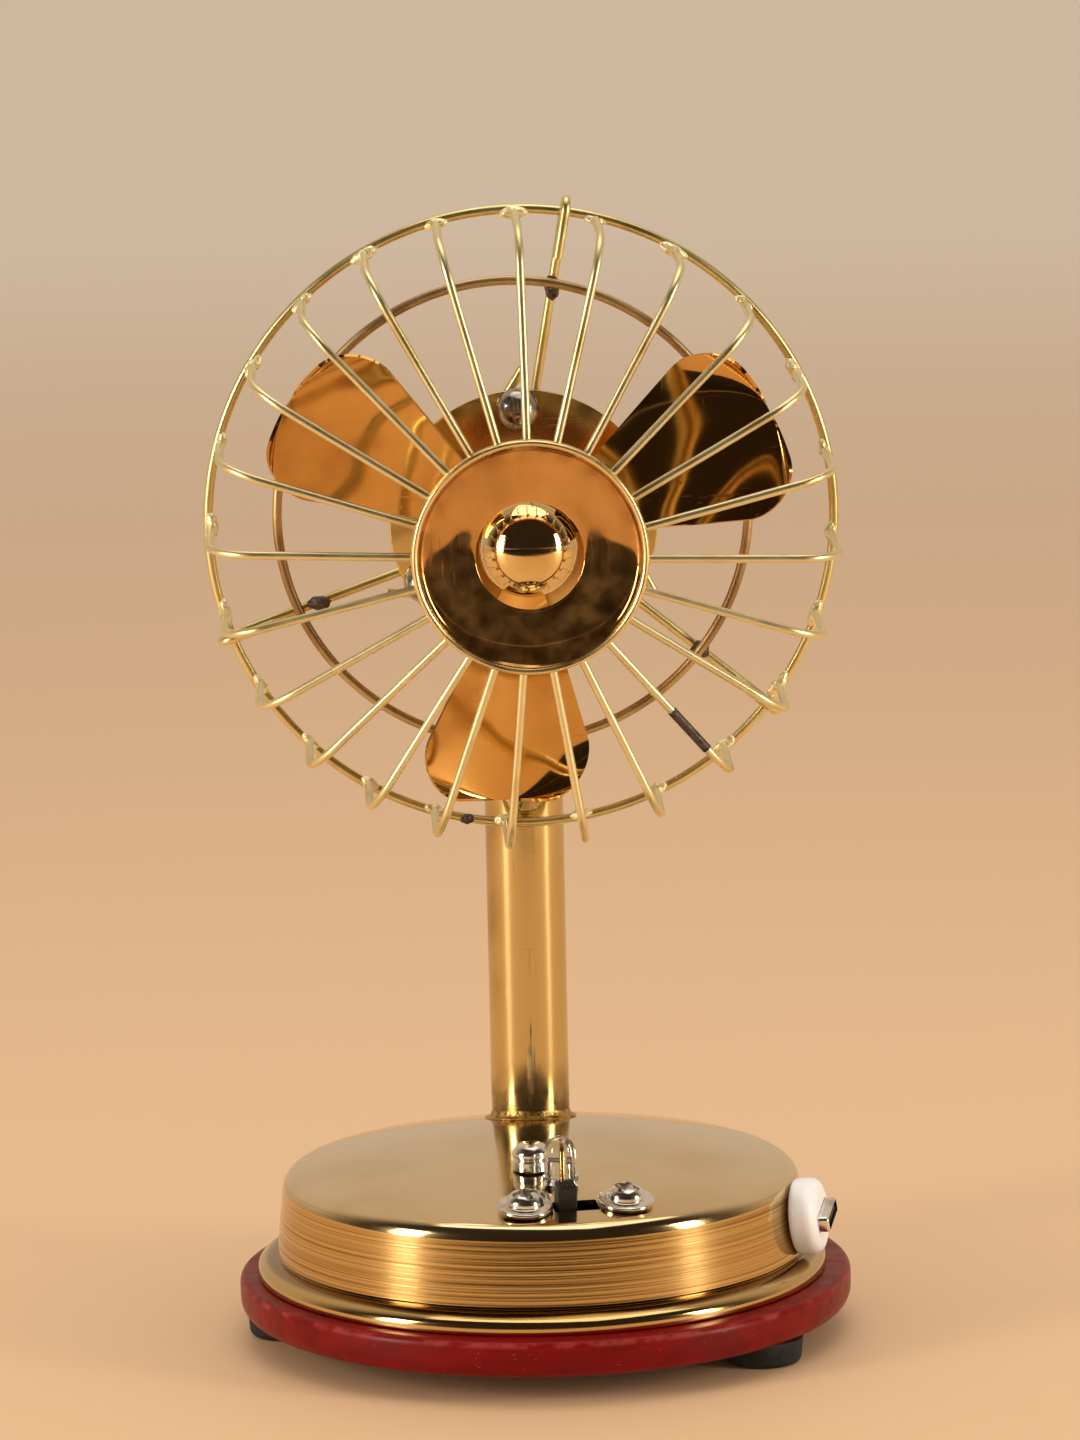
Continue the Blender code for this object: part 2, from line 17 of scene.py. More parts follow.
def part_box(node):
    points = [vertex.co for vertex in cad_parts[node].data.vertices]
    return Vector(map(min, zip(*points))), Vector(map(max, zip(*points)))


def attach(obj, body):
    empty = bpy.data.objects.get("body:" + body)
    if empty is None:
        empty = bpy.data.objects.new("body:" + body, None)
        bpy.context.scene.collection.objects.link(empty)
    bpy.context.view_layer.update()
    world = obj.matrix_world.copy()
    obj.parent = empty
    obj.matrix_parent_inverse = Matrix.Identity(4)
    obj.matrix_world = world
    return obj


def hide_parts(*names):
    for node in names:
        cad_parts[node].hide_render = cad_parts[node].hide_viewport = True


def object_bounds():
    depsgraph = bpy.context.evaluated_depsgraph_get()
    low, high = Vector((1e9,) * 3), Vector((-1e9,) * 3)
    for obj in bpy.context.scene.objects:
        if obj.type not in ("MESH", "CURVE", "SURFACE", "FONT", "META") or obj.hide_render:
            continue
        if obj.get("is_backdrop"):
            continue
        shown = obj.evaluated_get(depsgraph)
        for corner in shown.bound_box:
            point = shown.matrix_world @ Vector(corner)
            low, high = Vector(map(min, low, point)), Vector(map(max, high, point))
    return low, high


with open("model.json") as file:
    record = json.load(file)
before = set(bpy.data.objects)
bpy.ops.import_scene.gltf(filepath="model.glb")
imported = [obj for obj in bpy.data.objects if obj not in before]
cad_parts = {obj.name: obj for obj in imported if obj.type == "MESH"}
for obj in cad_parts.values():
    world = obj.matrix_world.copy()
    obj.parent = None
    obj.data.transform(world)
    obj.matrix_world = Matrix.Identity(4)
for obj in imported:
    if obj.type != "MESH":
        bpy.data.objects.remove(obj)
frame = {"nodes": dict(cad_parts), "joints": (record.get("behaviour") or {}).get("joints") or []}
CAD_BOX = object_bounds()
MM = 0.001
JOINTS = {joint["name"]: joint for joint in frame["joints"]}
print("nodes:", len(frame["nodes"]), "joints:", sorted(JOINTS))

# %% [markdown]
# Parts are drawn in millimetres in frames of their own. The head's frame sits on the
# propeller's axis with x to the right, y up and z forward, so the guard, the motor and the
# blades are drawn as if the fan looked straight up. The drum's frame stands on its own middle.
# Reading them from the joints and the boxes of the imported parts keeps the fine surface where
# the plain one is.


# %% The frames
def frame_of(origin, side, up, forward):
    """A frame that takes millimetres along three directions to metres round its origin."""
    turn = Matrix((side, up, forward)).transposed().to_4x4()
    return Matrix.Translation(origin) @ turn @ Matrix.Scale(MM, 4)


def middle_of(node):
    low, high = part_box(node)
    return (low + high) / 2


EAST, NORTH, SKY = Vector((1, 0, 0)), Vector((0, 1, 0)), Vector((0, 0, 1))
FORWARD = Vector(JOINTS["propeller_spin"]["axis"]).normalized()
HEAD_SIDE = Vector((-FORWARD.y, FORWARD.x, 0.0)).normalized()
HEAD = frame_of(Vector(JOINTS["propeller_spin"]["pos_m"]), HEAD_SIDE, FORWARD.cross(HEAD_SIDE), FORWARD)


def upright(node):
    """A frame on the ground under the middle of a part."""
    return frame_of(middle_of(node) * Vector((1, 1, 0)), EAST, NORTH, SKY)


DRUM = upright("base_drum")
WOOD = upright("wood_base")
POST = upright("post_tube")
print("head at", [round(value / MM, 2) for value in HEAD.translation], "mm")

# %% [markdown]
# A camera with a long lens stands nearly a metre away, a little above the guard, and looks down
# by under nine degrees. The long lens keeps the rings nearly round. It comes first because
# everything after it is judged through it.

# %% Camera
CAMERA_PLACE = (0.002305, -0.91247, 0.23928)
CAMERA_DOWN = 8.629            # degrees below the horizon
CAMERA_ROLL = -1.205           # degrees
SENSOR_HEIGHT = 36.0           # millimetres
LENS_LENGTH = 142.5            # millimetres

lens = bpy.data.cameras.new("camera")
lens.sensor_fit = "VERTICAL"
lens.sensor_height = SENSOR_HEIGHT
lens.lens = LENS_LENGTH
lens.clip_start = 0.01
camera = bpy.data.objects.new("camera", lens)
bpy.context.collection.objects.link(camera)
camera.matrix_world = (Matrix.Translation(CAMERA_PLACE)
                       @ Matrix.Rotation(math.radians(90.0 - CAMERA_DOWN), 4, "X")
                       @ Matrix.Rotation(math.radians(CAMERA_ROLL), 4, "Z"))
bpy.context.scene.camera = camera
print("camera", round(Vector(CAMERA_PLACE).length, 3), "m from the fan's foot")

# %% [markdown]
# ## Making nodes
# Every finish and every Geometry Nodes tree below is a small network. One function adds a node,
# sets its options and fills its sockets, with a plain value or with another node's output. The
# short ones after it are the steps that come back most: a sum, a ramp, a vector put together,
# scaled or moved. Colours are written as the hex values a paint chart would give. The shader
# works in linear light, so one function converts them.


# %% One way to add a node, one way to write a colour
def add(tree, kind, inputs=None, **options):
    node = tree.nodes.new(kind)
    for name, value in options.items():
        setattr(node, name, value)
    for socket, value in (inputs or {}).items():
        if isinstance(value, bpy.types.NodeSocket):
            tree.links.new(value, node.inputs[socket])
        else:
            node.inputs[socket].default_value = value
    return node


def maths(tree, operation, *values):
    return add(tree, "ShaderNodeMath", dict(enumerate(values)), operation=operation).outputs[0]


def ramp(tree, value, start, end, **options):
    """0 at one value, 1 at another and straight between them unless the options say otherwise."""
    return add(tree, "ShaderNodeMapRange", {0: value, 1: start, 2: end}, **options).outputs[0]


def soft_ramp(tree, value, start, end):
    return ramp(tree, value, start, end, interpolation_type="SMOOTHSTEP")


def vector(tree, x=0.0, y=0.0, z=0.0):
    return add(tree, "ShaderNodeCombineXYZ", {0: x, 1: y, 2: z}).outputs[0]


def part_of(tree, places, axis):
    """One of the three numbers of a vector."""
    return add(tree, "ShaderNodeSeparateXYZ", {0: places}).outputs[axis]


def length_of(tree, places):
    return add(tree, "ShaderNodeVectorMath", {0: places}, operation="LENGTH").outputs["Value"]


def scaled(tree, places, factor):
    return add(tree, "ShaderNodeVectorMath", {0: places, "Scale": factor}, operation="SCALE").outputs[0]


def shifted(tree, places, by, operation="ADD"):
    return add(tree, "ShaderNodeVectorMath", {0: places, 1: by}, operation=operation).outputs[0]


def linear(code):
    """An sRGB hex colour as linear RGBA."""
    channels = [int(code[start:start + 2], 16) / 255 for start in (1, 3, 5)]
    return (*[c / 12.92 if c <= 0.04045 else ((c + 0.055) / 1.055) ** 2.4 for c in channels], 1.0)


MIX_A, MIX_B, MIX_OUT = 6, 7, 2   # the colour sockets of a Mix node
print("mid grey is", round(linear("#808080")[0], 3))

# %% [markdown]
# ## Brass finishes
# Brass is copper and zinc, yellow because it reflects little blue. It is a metal, so its colour
# is its reflection: the base colour is bright and the IOR keeps its default. Hand-polished sheet
# is close to a mirror. What tells it from a perfect one is a brown bloom of tarnish a few
# centimetres across, small dark specks, and hair scratches from the polishing cloth. All of them
# are patterns on Object coordinates, which are metres, so a feature of s millimetres has the
# scale 1000 / s.


# %% Building blocks for a finish
def per_mm(size):
    """The scale of a pattern whose features are this many millimetres across."""
    return 1.0 / (size * MM)


def new_finish(name, base, metallic, roughness, **sockets):
    """A material with its shader, and Object coordinates for its patterns."""
    made = bpy.data.materials.new(name)
    made.use_nodes = True
    tree = made.node_tree
    shader = tree.nodes["Principled BSDF"]
    shader.inputs["Base Color"].default_value = linear(base)
    shader.inputs["Metallic"].default_value = metallic
    shader.inputs["Roughness"].default_value = roughness
    for socket, value in sockets.items():
        shader.inputs[socket.replace("_", " ")].default_value = value
    places = add(tree, "ShaderNodeTexCoord").outputs["Object"]
    return made, tree, shader, places


def centred(tree, places, frame_matrix):
    """Object coordinates seen from a frame, still in metres."""
    turn = frame_matrix.to_3x3().normalized().to_euler()
    return add(tree, "ShaderNodeMapping", {"Vector": places, "Location": frame_matrix.translation,
                                           "Rotation": turn}, vector_type="TEXTURE").outputs[0]


def clouds(tree, places, size, low, high, detail=4.0, stretch=None):
    """A mask from 0 to 1 out of soft noise with features of one size in millimetres."""
    if stretch:
        places = add(tree, "ShaderNodeMapping", {"Vector": places, "Scale": stretch}).outputs[0]
    noise = add(tree, "ShaderNodeTexNoise", {"Vector": places, "Scale": per_mm(size), "Detail": detail})
    return soft_ramp(tree, noise.outputs[0], low, high)


SPOT_FROM = 0.62               # cells of a random grey darker than this stay empty


def specks(tree, places, spacing, size):
    """A mask of small round spots, one to a cell, of which only some show."""
    cells = add(tree, "ShaderNodeTexVoronoi", {"Vector": places, "Scale": per_mm(spacing)})
    keep = maths(tree, "GREATER_THAN", cells.outputs["Color"], SPOT_FROM)
    return maths(tree, "MULTIPLY", keep, ramp(tree, cells.outputs["Distance"], size / spacing, 0.0))


def mixed(tree, mask, first, second):
    """A colour between two others. Each is a hex value or another node's output."""
    inputs = {0: mask, MIX_A: first, MIX_B: second}
    for socket in (MIX_A, MIX_B):
        if isinstance(inputs[socket], str):
            inputs[socket] = linear(inputs[socket])
    return add(tree, "ShaderNodeMix", inputs, data_type="RGBA").outputs[MIX_OUT]


def between(tree, mask, low, high):
    return add(tree, "ShaderNodeMapRange", {0: mask, 3: low, 4: high}).outputs[0]


def relief(tree, shader, height, depth):
    """Bump whose full height is a depth in millimetres."""
    bump = add(tree, "ShaderNodeBump", {"Height": height, "Distance": depth * MM, "Strength": 1.0})
    tree.links.new(bump.outputs[0], shader.inputs["Normal"])


def use(tree, output, shader, socket):
    tree.links.new(output, shader.inputs[socket])


def patches(tree, shader, places, size, low, high):
    """Glossier and duller patches of one size in millimetres."""
    use(tree, between(tree, clouds(tree, places, size, 0.3, 0.7), low, high), shader, "Roughness")


def duller(tree, gloss, *layers):
    """A roughness that grows by an amount wherever each of the masks shows."""
    for mask, amount in layers:
        gloss = maths(tree, "MULTIPLY_ADD", mask, amount, gloss)
    return gloss


print("a 20 mm cloud has a scale of", per_mm(20))


# %% Polished sheet brass
def sheet_brass(name, bright, bloom, gloss, bloom_size=24.0, speck=None, dents=0.02):
    """Sheet brass buffed by hand: a bright metal, a brown bloom over part of it and hair scratches."""
    made, tree, shader, places = new_finish(name, bright, 1.0, gloss)
    stain = clouds(tree, places, bloom_size, 0.42, 0.72)
    hair = clouds(tree, places, 0.5, 0.66, 0.74, 2.0, (1.0, 1.0, 0.04))
    cross_hair = clouds(tree, places, 0.6, 0.67, 0.75, 2.0, (0.05, 0.7, 1.0))
    scratch = maths(tree, "MAXIMUM", hair, cross_hair)
    colour = mixed(tree, stain, bright, bloom)
    if speck:
        colour = mixed(tree, specks(tree, places, speck, 0.28), colour, "#4A2E12")
    use(tree, colour, shader, "Base Color")
    use(tree, duller(tree, gloss, (stain, 0.10), (scratch, 0.14)), shader, "Roughness")
    relief(tree, shader, clouds(tree, places, 14.0, 0.2, 0.8, 1.0), dents)
    return made


BLADE_BRASS = sheet_brass("hand_cut_blade_brass", "#D8A75C", "#AE7A3C", 0.06, 22.0, 9.0, dents=0.10)
PLATE_BRASS = sheet_brass("motor_plate_brass", "#E2C486", "#B8935A", 0.18, 16.0, dents=0.05)
SPUN_BRASS = sheet_brass("spun_housing_brass", "#DEC692", "#B4945C", 0.16, 26.0)
SPINNER_BRASS = sheet_brass("mirror_spinner_brass", "#F2D69C", "#E0BC78", 0.03, 9.0, dents=0.0)


def post_brass(low, high):
    """Drawn tube, browned and dulled by the flame from its foot up to a height."""
    made = sheet_brass("drawn_tube_brass", "#D6BE84", "#A0844E", 0.09, 30.0, dents=0.02)
    tree = made.node_tree
    shader = tree.nodes["Principled BSDF"]
    places = add(tree, "ShaderNodeTexCoord").outputs["Object"]
    singed = ramp(tree, part_of(tree, places, 2), high * MM, low * MM)
    ragged = maths(tree, "MULTIPLY", singed, clouds(tree, places, 5.0, 0.25, 0.65))
    for socket, target in (("Base Color", "#6E5530"), ("Roughness", 0.38)):
        before = shader.inputs[socket].links[0].from_socket
        if socket == "Base Color":
            after = mixed(tree, ragged, before, target)
        else:
            after = add(tree, "ShaderNodeMix", {0: ragged, 2: before, 3: target}).outputs[0]
        use(tree, after, shader, socket)
    return made


POST_BRASS = post_brass(31.0, 41.0)
print("sheet finishes:", BLADE_BRASS.name, PLATE_BRASS.name, SPUN_BRASS.name, POST_BRASS.name)

# %% [markdown]
# The drum was spun over a form and then skimmed on the lathe. Its wall keeps the tool's lines,
# which run round it as fine bright and dark stripes. Those lines are real ridges in the mesh further
# down. The finish adds what lies on them: rows of gloss that change only with height, a painted dark
# reflection that makes the wall darker than the dome and shoulder, painted dark reflection lines in
# the rows, and painted shade in the undercut.


# %% Turned brass of the drum
def turned_brass():
    made, tree, shader, places = new_finish("turned_drum_brass", "#DECDA0", 1.0, 0.16)
    rows = clouds(tree, places, 0.4, 0.42, 0.68, 4.0, (0.001, 0.001, 1.0))
    bloom = clouds(tree, places, 30.0, 0.40, 0.75)
    height = part_of(tree, places, 2)
    on_wall = ramp(tree, height, 26.2 * MM, 24.4 * MM)
    above_foot = ramp(tree, height, 13.2 * MM, 15.2 * MM)
    stripes = maths(tree, "MULTIPLY", maths(tree, "MULTIPLY", on_wall, rows), above_foot)
    metal = mixed(tree, bloom, "#F0DAB2", "#E0C494")
    # Painted dark reflection: the wall is painted darker than the dome and shoulder.
    metal = mixed(tree, on_wall, metal, "#D6B67A")
    # Painted dark reflection lines: the rows on the wall are painted darker brown.
    metal = mixed(tree, stripes, metal, "#98763E")
    # Painted shade: the undercut above the flange is painted dark brown.
    undercut = add(tree, "ShaderNodeFloatCurve", {1: ramp(tree, height, 13.0 * MM, 14.2 * MM)})
    bend = undercut.mapping.curves[0]
    bend.points[0].location = (0.0, 0.0)
    bend.points[1].location = (1.0, 0.0)
    bend.points.new(0.55, 0.7)
    undercut.mapping.update()
    use(tree, mixed(tree, undercut.outputs[0], metal, "#6E4A20"), shader, "Base Color")
    use(tree, between(tree, stripes, 0.12, 0.20), shader, "Roughness")
    relief(tree, shader, clouds(tree, places, 0.4, 0.3, 0.7, 2.0, (0.01, 0.01, 1.0)), 0.004)
    return made


DRUM_BRASS = turned_brass()
print("drum finish:", DRUM_BRASS.name)

# %% [markdown]
# The medallion and the wires take other treatments. The dish is a near mirror, but fingers have
# left brown spots on it, polishing has drawn faint arcs round its middle and a thin film of smoke
# lies over it, where the metal is a little less than pure. Guard wire is drawn through a die,
# clear lacquered and left alone, so it is paler and only satin. The rear ring sits behind the
# solder flame and has gone brown. Solder itself is dull and pale where it ran, and burnt flux is
# nearly black.


# %% Medallion, wire and solder
def medallion_brass():
    made, tree, shader, places = new_finish("dished_medallion_brass", "#C98F42", 1.0, 0.05)
    local = centred(tree, places, HEAD)
    smoke = clouds(tree, local, 13.0, 0.40, 0.80, 5.0)
    radius = length_of(tree, vector(tree, part_of(tree, local, 0), part_of(tree, local, 1)))
    rim = ramp(tree, radius, 14.5 * MM, 18.2 * MM)
    rim = maths(tree, "MULTIPLY", rim, clouds(tree, local, 4.0, 0.3, 0.7))
    colour = mixed(tree, smoke, "#D8A562", "#C08E50")
    colour = mixed(tree, rim, colour, "#8E5F2C")
    colour = mixed(tree, specks(tree, local, 4.2, 0.30), colour, "#2E1C0C")
    lip = ramp(tree, radius, 17.75 * MM, 17.95 * MM)
    use(tree, mixed(tree, lip, colour, "#F0D79C"), shader, "Base Color")
    arcs = clouds(tree, radius, 0.35, 0.55, 0.75, 3.0)
    scuff = clouds(tree, local, 0.5, 0.62, 0.72, 2.0, (1.0, 0.06, 1.0))
    wear = maths(tree, "MAXIMUM", arcs, scuff)
    haze = clouds(tree, local, 9.0, 0.45, 0.75, 6.0)
    dull = duller(tree, 0.045, (wear, 0.10), (haze, 0.08), (rim, 0.13), (lip, 0.16))
    use(tree, dull, shader, "Roughness")
    use(tree, between(tree, clouds(tree, local, 3.5, 0.3, 0.8, 6.0), 0.99, 0.86), shader, "Metallic")
    relief(tree, shader, clouds(tree, local, 7.0, 0.2, 0.8, 1.0), 0.02)
    return made


def drawn_wire(name, bright, brown, spread, gloss):
    """Wire that a die has drawn: a little brown here and there, clear lacquer over it."""
    made, tree, shader, places = new_finish(name, bright, 1.0, gloss, Coat_Weight=0.15,
                                            Coat_Roughness=0.25)
    use(tree, mixed(tree, clouds(tree, places, 14.0, *spread), bright, brown), shader, "Base Color")
    patches(tree, shader, places, 5.0, gloss - 0.04, gloss + 0.05)
    relief(tree, shader, clouds(tree, places, 4.0, 0.2, 0.8, 1.0), 0.02)
    return made


def soldered(name, metal, dirt, metallic):
    made, tree, shader, places = new_finish(name, metal, metallic, 0.34)
    use(tree, mixed(tree, clouds(tree, places, 1.3, 0.46, 0.72), metal, dirt), shader, "Base Color")
    patches(tree, shader, places, 0.7, 0.22, 0.5)
    relief(tree, shader, clouds(tree, places, 0.6, 0.2, 0.8), 0.06)
    return made


MEDALLION_BRASS = medallion_brass()
GUARD_WIRE = drawn_wire("lacquered_guard_wire", "#F0E4B4", "#D6C07C", (0.48, 0.78), 0.38)
RING_WIRE = drawn_wire("lacquered_ring_wire", "#EADB9E", "#CDB26A", (0.48, 0.76), 0.34)
REAR_WIRE = drawn_wire("browned_rear_wire", "#CDB284", "#A2835A", (0.42, 0.70), 0.38)
SOLDER = soldered("brass_solder", "#F8EFC4", "#D2BE80", 0.6)
COLLAR_SOLDER = soldered("browned_solder", "#C8A25C", "#6E4E2A", 1.0)
BURNT = soldered("burnt_flux", "#4E4038", "#241A16", 0.35)
print("wire finishes:", GUARD_WIRE.name, REAR_WIRE.name, SOLDER.name, BURNT.name)

# %% [markdown]
# ## Other finishes
# The foot is a turned wooden disc under deep red lacquer. Lacquer is a clear gloss coat over
# coloured wood, which is what the shader's coat is for. A paler band along its upper edge is partly
# lacquer rubbed thin and partly a painted highlight, and pale scratches show. The screws are nickel
# plated and bright. The plastics are moulded: the knob is black and satin, the socket's ring is
# milky and lets a little light in, and the lamp is clear epoxy with an IOR of 1.55.


# %% Lacquer, rubber and plastics
def red_lacquer():
    made, tree, shader, places = new_finish("red_lacquered_wood", "#720105", 0.0, 0.42, Coat_Weight=0.05,
                                            Coat_Roughness=0.15, Specular_IOR_Level=0.16)
    grain = clouds(tree, places, 3.0, 0.35, 0.70, 5.0, (0.12, 1.0, 1.0))
    wood = mixed(tree, grain, "#760106", "#620104")
    height = part_of(tree, places, 2)
    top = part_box("wood_base")[1].z
    # Painted highlight and wear: a paler band on the rounded upper edge, partly lacquer rubbed thin and
    # partly a painted highlight.
    corner = ramp(tree, height, top - 1.2 * MM, top - 0.7 * MM)
    off_top = ramp(tree, height, top - 0.1 * MM, top - 0.35 * MM)
    rubbed = clouds(tree, places, 3.5, 0.42, 0.64, 6.0)
    worn_edge_and_highlight = maths(tree, "MULTIPLY", maths(tree, "MULTIPLY", corner, off_top), rubbed)
    wood = mixed(tree, worn_edge_and_highlight, wood, "#8C2E2A")
    nicks = clouds(tree, places, 1.1, 0.70, 0.74, 4.0, (1.0, 1.0, 5.0))
    wood = mixed(tree, nicks, wood, "#B05A4C")
    use(tree, wood, shader, "Base Color")
    use(tree, between(tree, rubbed, 0.36, 0.44), shader, "Roughness")
    relief(tree, shader, grain, 0.012)
    return made


def moulded(name, colour, shade, gloss, grain, depth, **sockets):
    """Moulded plastic or rubber: nearly one colour, with the fine grain of its mould."""
    made, tree, shader, places = new_finish(name, colour, 0.0, gloss, **sockets)
    use(tree, mixed(tree, clouds(tree, places, 6.0, 0.35, 0.7), colour, shade), shader, "Base Color")
    patches(tree, shader, places, 2.5, gloss - 0.05, gloss + 0.08)
    relief(tree, shader, clouds(tree, places, grain, 0.3, 0.7, 2.0), depth)
    return made


def plated(name, bright, dull, gloss):
    """Nickel plate or bare steel: grey metal, brighter and duller in patches."""
    made, tree, shader, places = new_finish(name, bright, 1.0, gloss)
    use(tree, mixed(tree, clouds(tree, places, 2.4, 0.45, 0.75), bright, dull), shader, "Base Color")
    patches(tree, shader, places, 1.0, gloss, gloss + 0.1)
    relief(tree, shader, clouds(tree, places, 1.5, 0.2, 0.8, 1.0), 0.01)
    return made


RED = red_lacquer()
RUBBER = moulded("black_foot_rubber", "#17181A", "#26272A", 0.72, 0.4, 0.05)
BLACK = moulded("black_moulded_nylon", "#0A0A0B", "#161618", 0.46, 0.5, 0.02)
SLOT_DARK = moulded("lead_insulation", "#101011", "#1F1F22", 0.45, 0.5, 0.01)
MILKY = moulded("milky_abs", "#F2F5FA", "#E6E9EE", 0.34, 0.6, 0.015, Subsurface_Weight=0.25,
                Subsurface_Scale=2.0 * MM)
WHITE_NYLON = moulded("white_nylon", "#E9E4D8", "#D8D0C0", 0.45, 0.6, 0.02)
LAMINATE = moulded("green_board_laminate", "#1E6B3A", "#124A28", 0.38, 0.8, 0.02)
NICKEL = plated("bright_nickel_plate", "#F0EDE8", "#CBC7C0", 0.13)
STEEL = plated("zinc_plated_steel", "#B8B8BA", "#8E8E92", 0.26)
BALL_STEEL = plated("domed_screw_nickel", "#B2AFAB", "#827F7C", 0.18)
TINNED = plated("tinned_lead", "#D8D8DA", "#A8A8AC", 0.18)


def clear_epoxy():
    made, tree, shader, places = new_finish("clear_lamp_epoxy", "#F4F6F6", 0.0, 0.03, IOR=1.55,
                                            Transmission_Weight=1.0)
    patches(tree, shader, places, 1.5, 0.01, 0.06)
    return made


EPOXY = clear_epoxy()
print(len(bpy.data.materials), "materials")

# %% [markdown]
# ## Turned parts
# Nearly every metal part here was spun, drawn or turned, so it is an outline swept round an
# axis. A Screw modifier would do it, but writing the rings directly closes the poles with one
# vertex, needs no merging and gives even faces, which matters on metal this shiny. Corners of an
# outline carry the radius of their rounding, because no real edge is sharp and each rounding
# catches its own line of light.


# %% Outlines and the lathe
def rounded(corners, steps=6, closed=False):
    """An outline from (radius, height, rounding) corners."""
    count = len(corners)
    outline = []
    for index, (x, y, rounding) in enumerate(corners):
        corner = Vector((x, y))
        if rounding == 0 or (not closed and index in (0, count - 1)):
            outline.append(corner)
            continue
        before = Vector(corners[index - 1][:2]) - corner
        after = Vector(corners[(index + 1) % count][:2]) - corner
        start = corner + before.normalized() * min(rounding, 0.49 * before.length)
        end = corner + after.normalized() * min(rounding, 0.49 * after.length)
        for step in range(steps + 1):
            t = step / steps
            outline.append(start * (1 - t) ** 2 + corner * 2 * t * (1 - t) + end * t ** 2)
    return outline


def flowing(points, steps):
    """A smooth closed line through the points."""
    points = [Vector(point) for point in points]
    line = []
    for index in range(len(points)):
        a, b, c, d = [points[(index + shift) % len(points)] for shift in (-1, 0, 1, 2)]
        for step in range(steps):
            t = step / steps
            line.append(0.5 * (2 * b + (c - a) * t + (2 * a - 5 * b + 4 * c - d) * t ** 2
                               + (3 * b - 3 * c + d - a) * t ** 3))
    return line


def plain(*points):
    """An outline with no rounding."""
    return [Vector(point) for point in points]


def domed(radius, base, rise, degrees, count):
    """An outline that starts at a crown and curves out and down, a few degrees a step."""
    turns = [math.radians(degrees * step) for step in range(count)]
    return [Vector((radius * math.sin(turn), base + rise * math.cos(turn))) for turn in turns]


def lathe(outline, segments=160, closed=False):
    """Turns an outline round z. A point on the axis becomes one vertex."""
    shape = bmesh.new()
    rings = []
    for radius, height in outline:
        turns = [2 * math.pi * step / segments for step in range(segments if radius > 1e-6 else 1)]
        rings.append([shape.verts.new((radius * math.cos(turn), radius * math.sin(turn), height))
                      for turn in turns])
    for upper, lower in zip(rings, rings[1:] + rings[:1] if closed else rings[1:]):
        for step in range(segments):
            corners = [ring[place % len(ring)] for ring, place in
                       ((upper, step), (lower, step), (lower, step + 1), (upper, step + 1))]
            corners = list(dict.fromkeys(corners))
            if len(corners) > 2:
                shape.faces.new(corners)
    bmesh.ops.recalc_face_normals(shape, faces=shape.faces)
    return shape


print("a washer's outline has", len(rounded([(1, 1, 0.2), (2, 1, 0.2), (2, 0, 0.2)])), "points")

# %% [markdown]
# A finished piece is a mesh whose object sits at the origin, with its place in its vertices. It
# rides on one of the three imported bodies, the fixed root, the rotor or the slider, and it stands
# for one or more plain nodes, which are then hidden.


# %% Placing a piece
SHARP = math.radians(38.0)


def piece(name, shape, finish, place=None):
    """Turns a bmesh in a frame's millimetres into an object with one finish."""
    mesh = bpy.data.meshes.new(name)
    shape.to_mesh(mesh)
    shape.free()
    mesh.transform(place if place is not None else Matrix.Scale(MM, 4))
    mesh.shade_smooth()
    mesh.set_sharp_from_angle(angle=SHARP)
    mesh.materials.append(finish)
    made = bpy.data.objects.new(name, mesh)
    bpy.context.collection.objects.link(made)
    return made


def settle(made, body, slot, *nodes):
    """Says what the piece rides on and which nodes it stands for. The slot is not used."""
    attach(made, body)
    if nodes:
        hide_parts(*nodes)
    print(f"{made.name}: {len(made.data.polygons)} faces on {body}")
    return made


def baked(made):
    """Applies a piece's modifiers and keeps the plain mesh."""
    mesh = bpy.data.meshes.new_from_object(made.evaluated_get(bpy.context.evaluated_depsgraph_get()))
    made.modifiers.clear()
    made.data = mesh
    return made


def cut(made, *tools):
    """Cuts a piece with other pieces and removes those."""
    for tool in tools:
        modifier = made.modifiers.new("cut", "BOOLEAN")
        modifier.operation = "DIFFERENCE"
        modifier.object = tool
    baked(made)
    for tool in tools:
        bpy.data.objects.remove(tool)
    made.data.set_sharp_from_angle(angle=SHARP)
    return made


def block(size, centre=(0, 0, 0), rounding=0.0, rounds=3, turn=0.0):
    """A bmesh box with rounded edges."""
    shape = bmesh.new()
    bmesh.ops.create_cube(shape, size=1.0)
    bmesh.ops.scale(shape, vec=size, verts=shape.verts)
    if rounding:
        bmesh.ops.bevel(shape, geom=shape.edges[:], offset=rounding, segments=rounds, profile=0.5,
                        affect="EDGES")
    bmesh.ops.rotate(shape, verts=shape.verts, matrix=Matrix.Rotation(math.radians(turn), 3, "Z"))
    bmesh.ops.translate(shape, vec=centre, verts=shape.verts)
    return shape


print("sharp edges start at", round(math.degrees(SHARP)), "degrees")

# %% [markdown]
# ## The foot
# The wooden disc carries everything and hides the bolt's point. Its upper edge is softly rounded
# and its lower edge more so, and it rolls the light into one long line. Three rubber feet are
# stuck under it.

# %% Wooden disc and rubber feet
wood_low, wood_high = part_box("wood_base")
WOOD_RADIUS = (wood_high.y - wood_low.y) / 2 / MM - 0.02
WOOD_TOP = wood_high.z / MM
WOOD_BOTTOM = wood_low.z / MM

disc = lathe(rounded([(0, WOOD_TOP, 0), (WOOD_RADIUS, WOOD_TOP, 1.3), (WOOD_RADIUS, WOOD_BOTTOM, 3.0),
                      (0, WOOD_BOTTOM, 0)], 10), 240)
settle(piece("lacquered_foot", disc, RED, WOOD), "root", "red_lacquer", "wood_base")

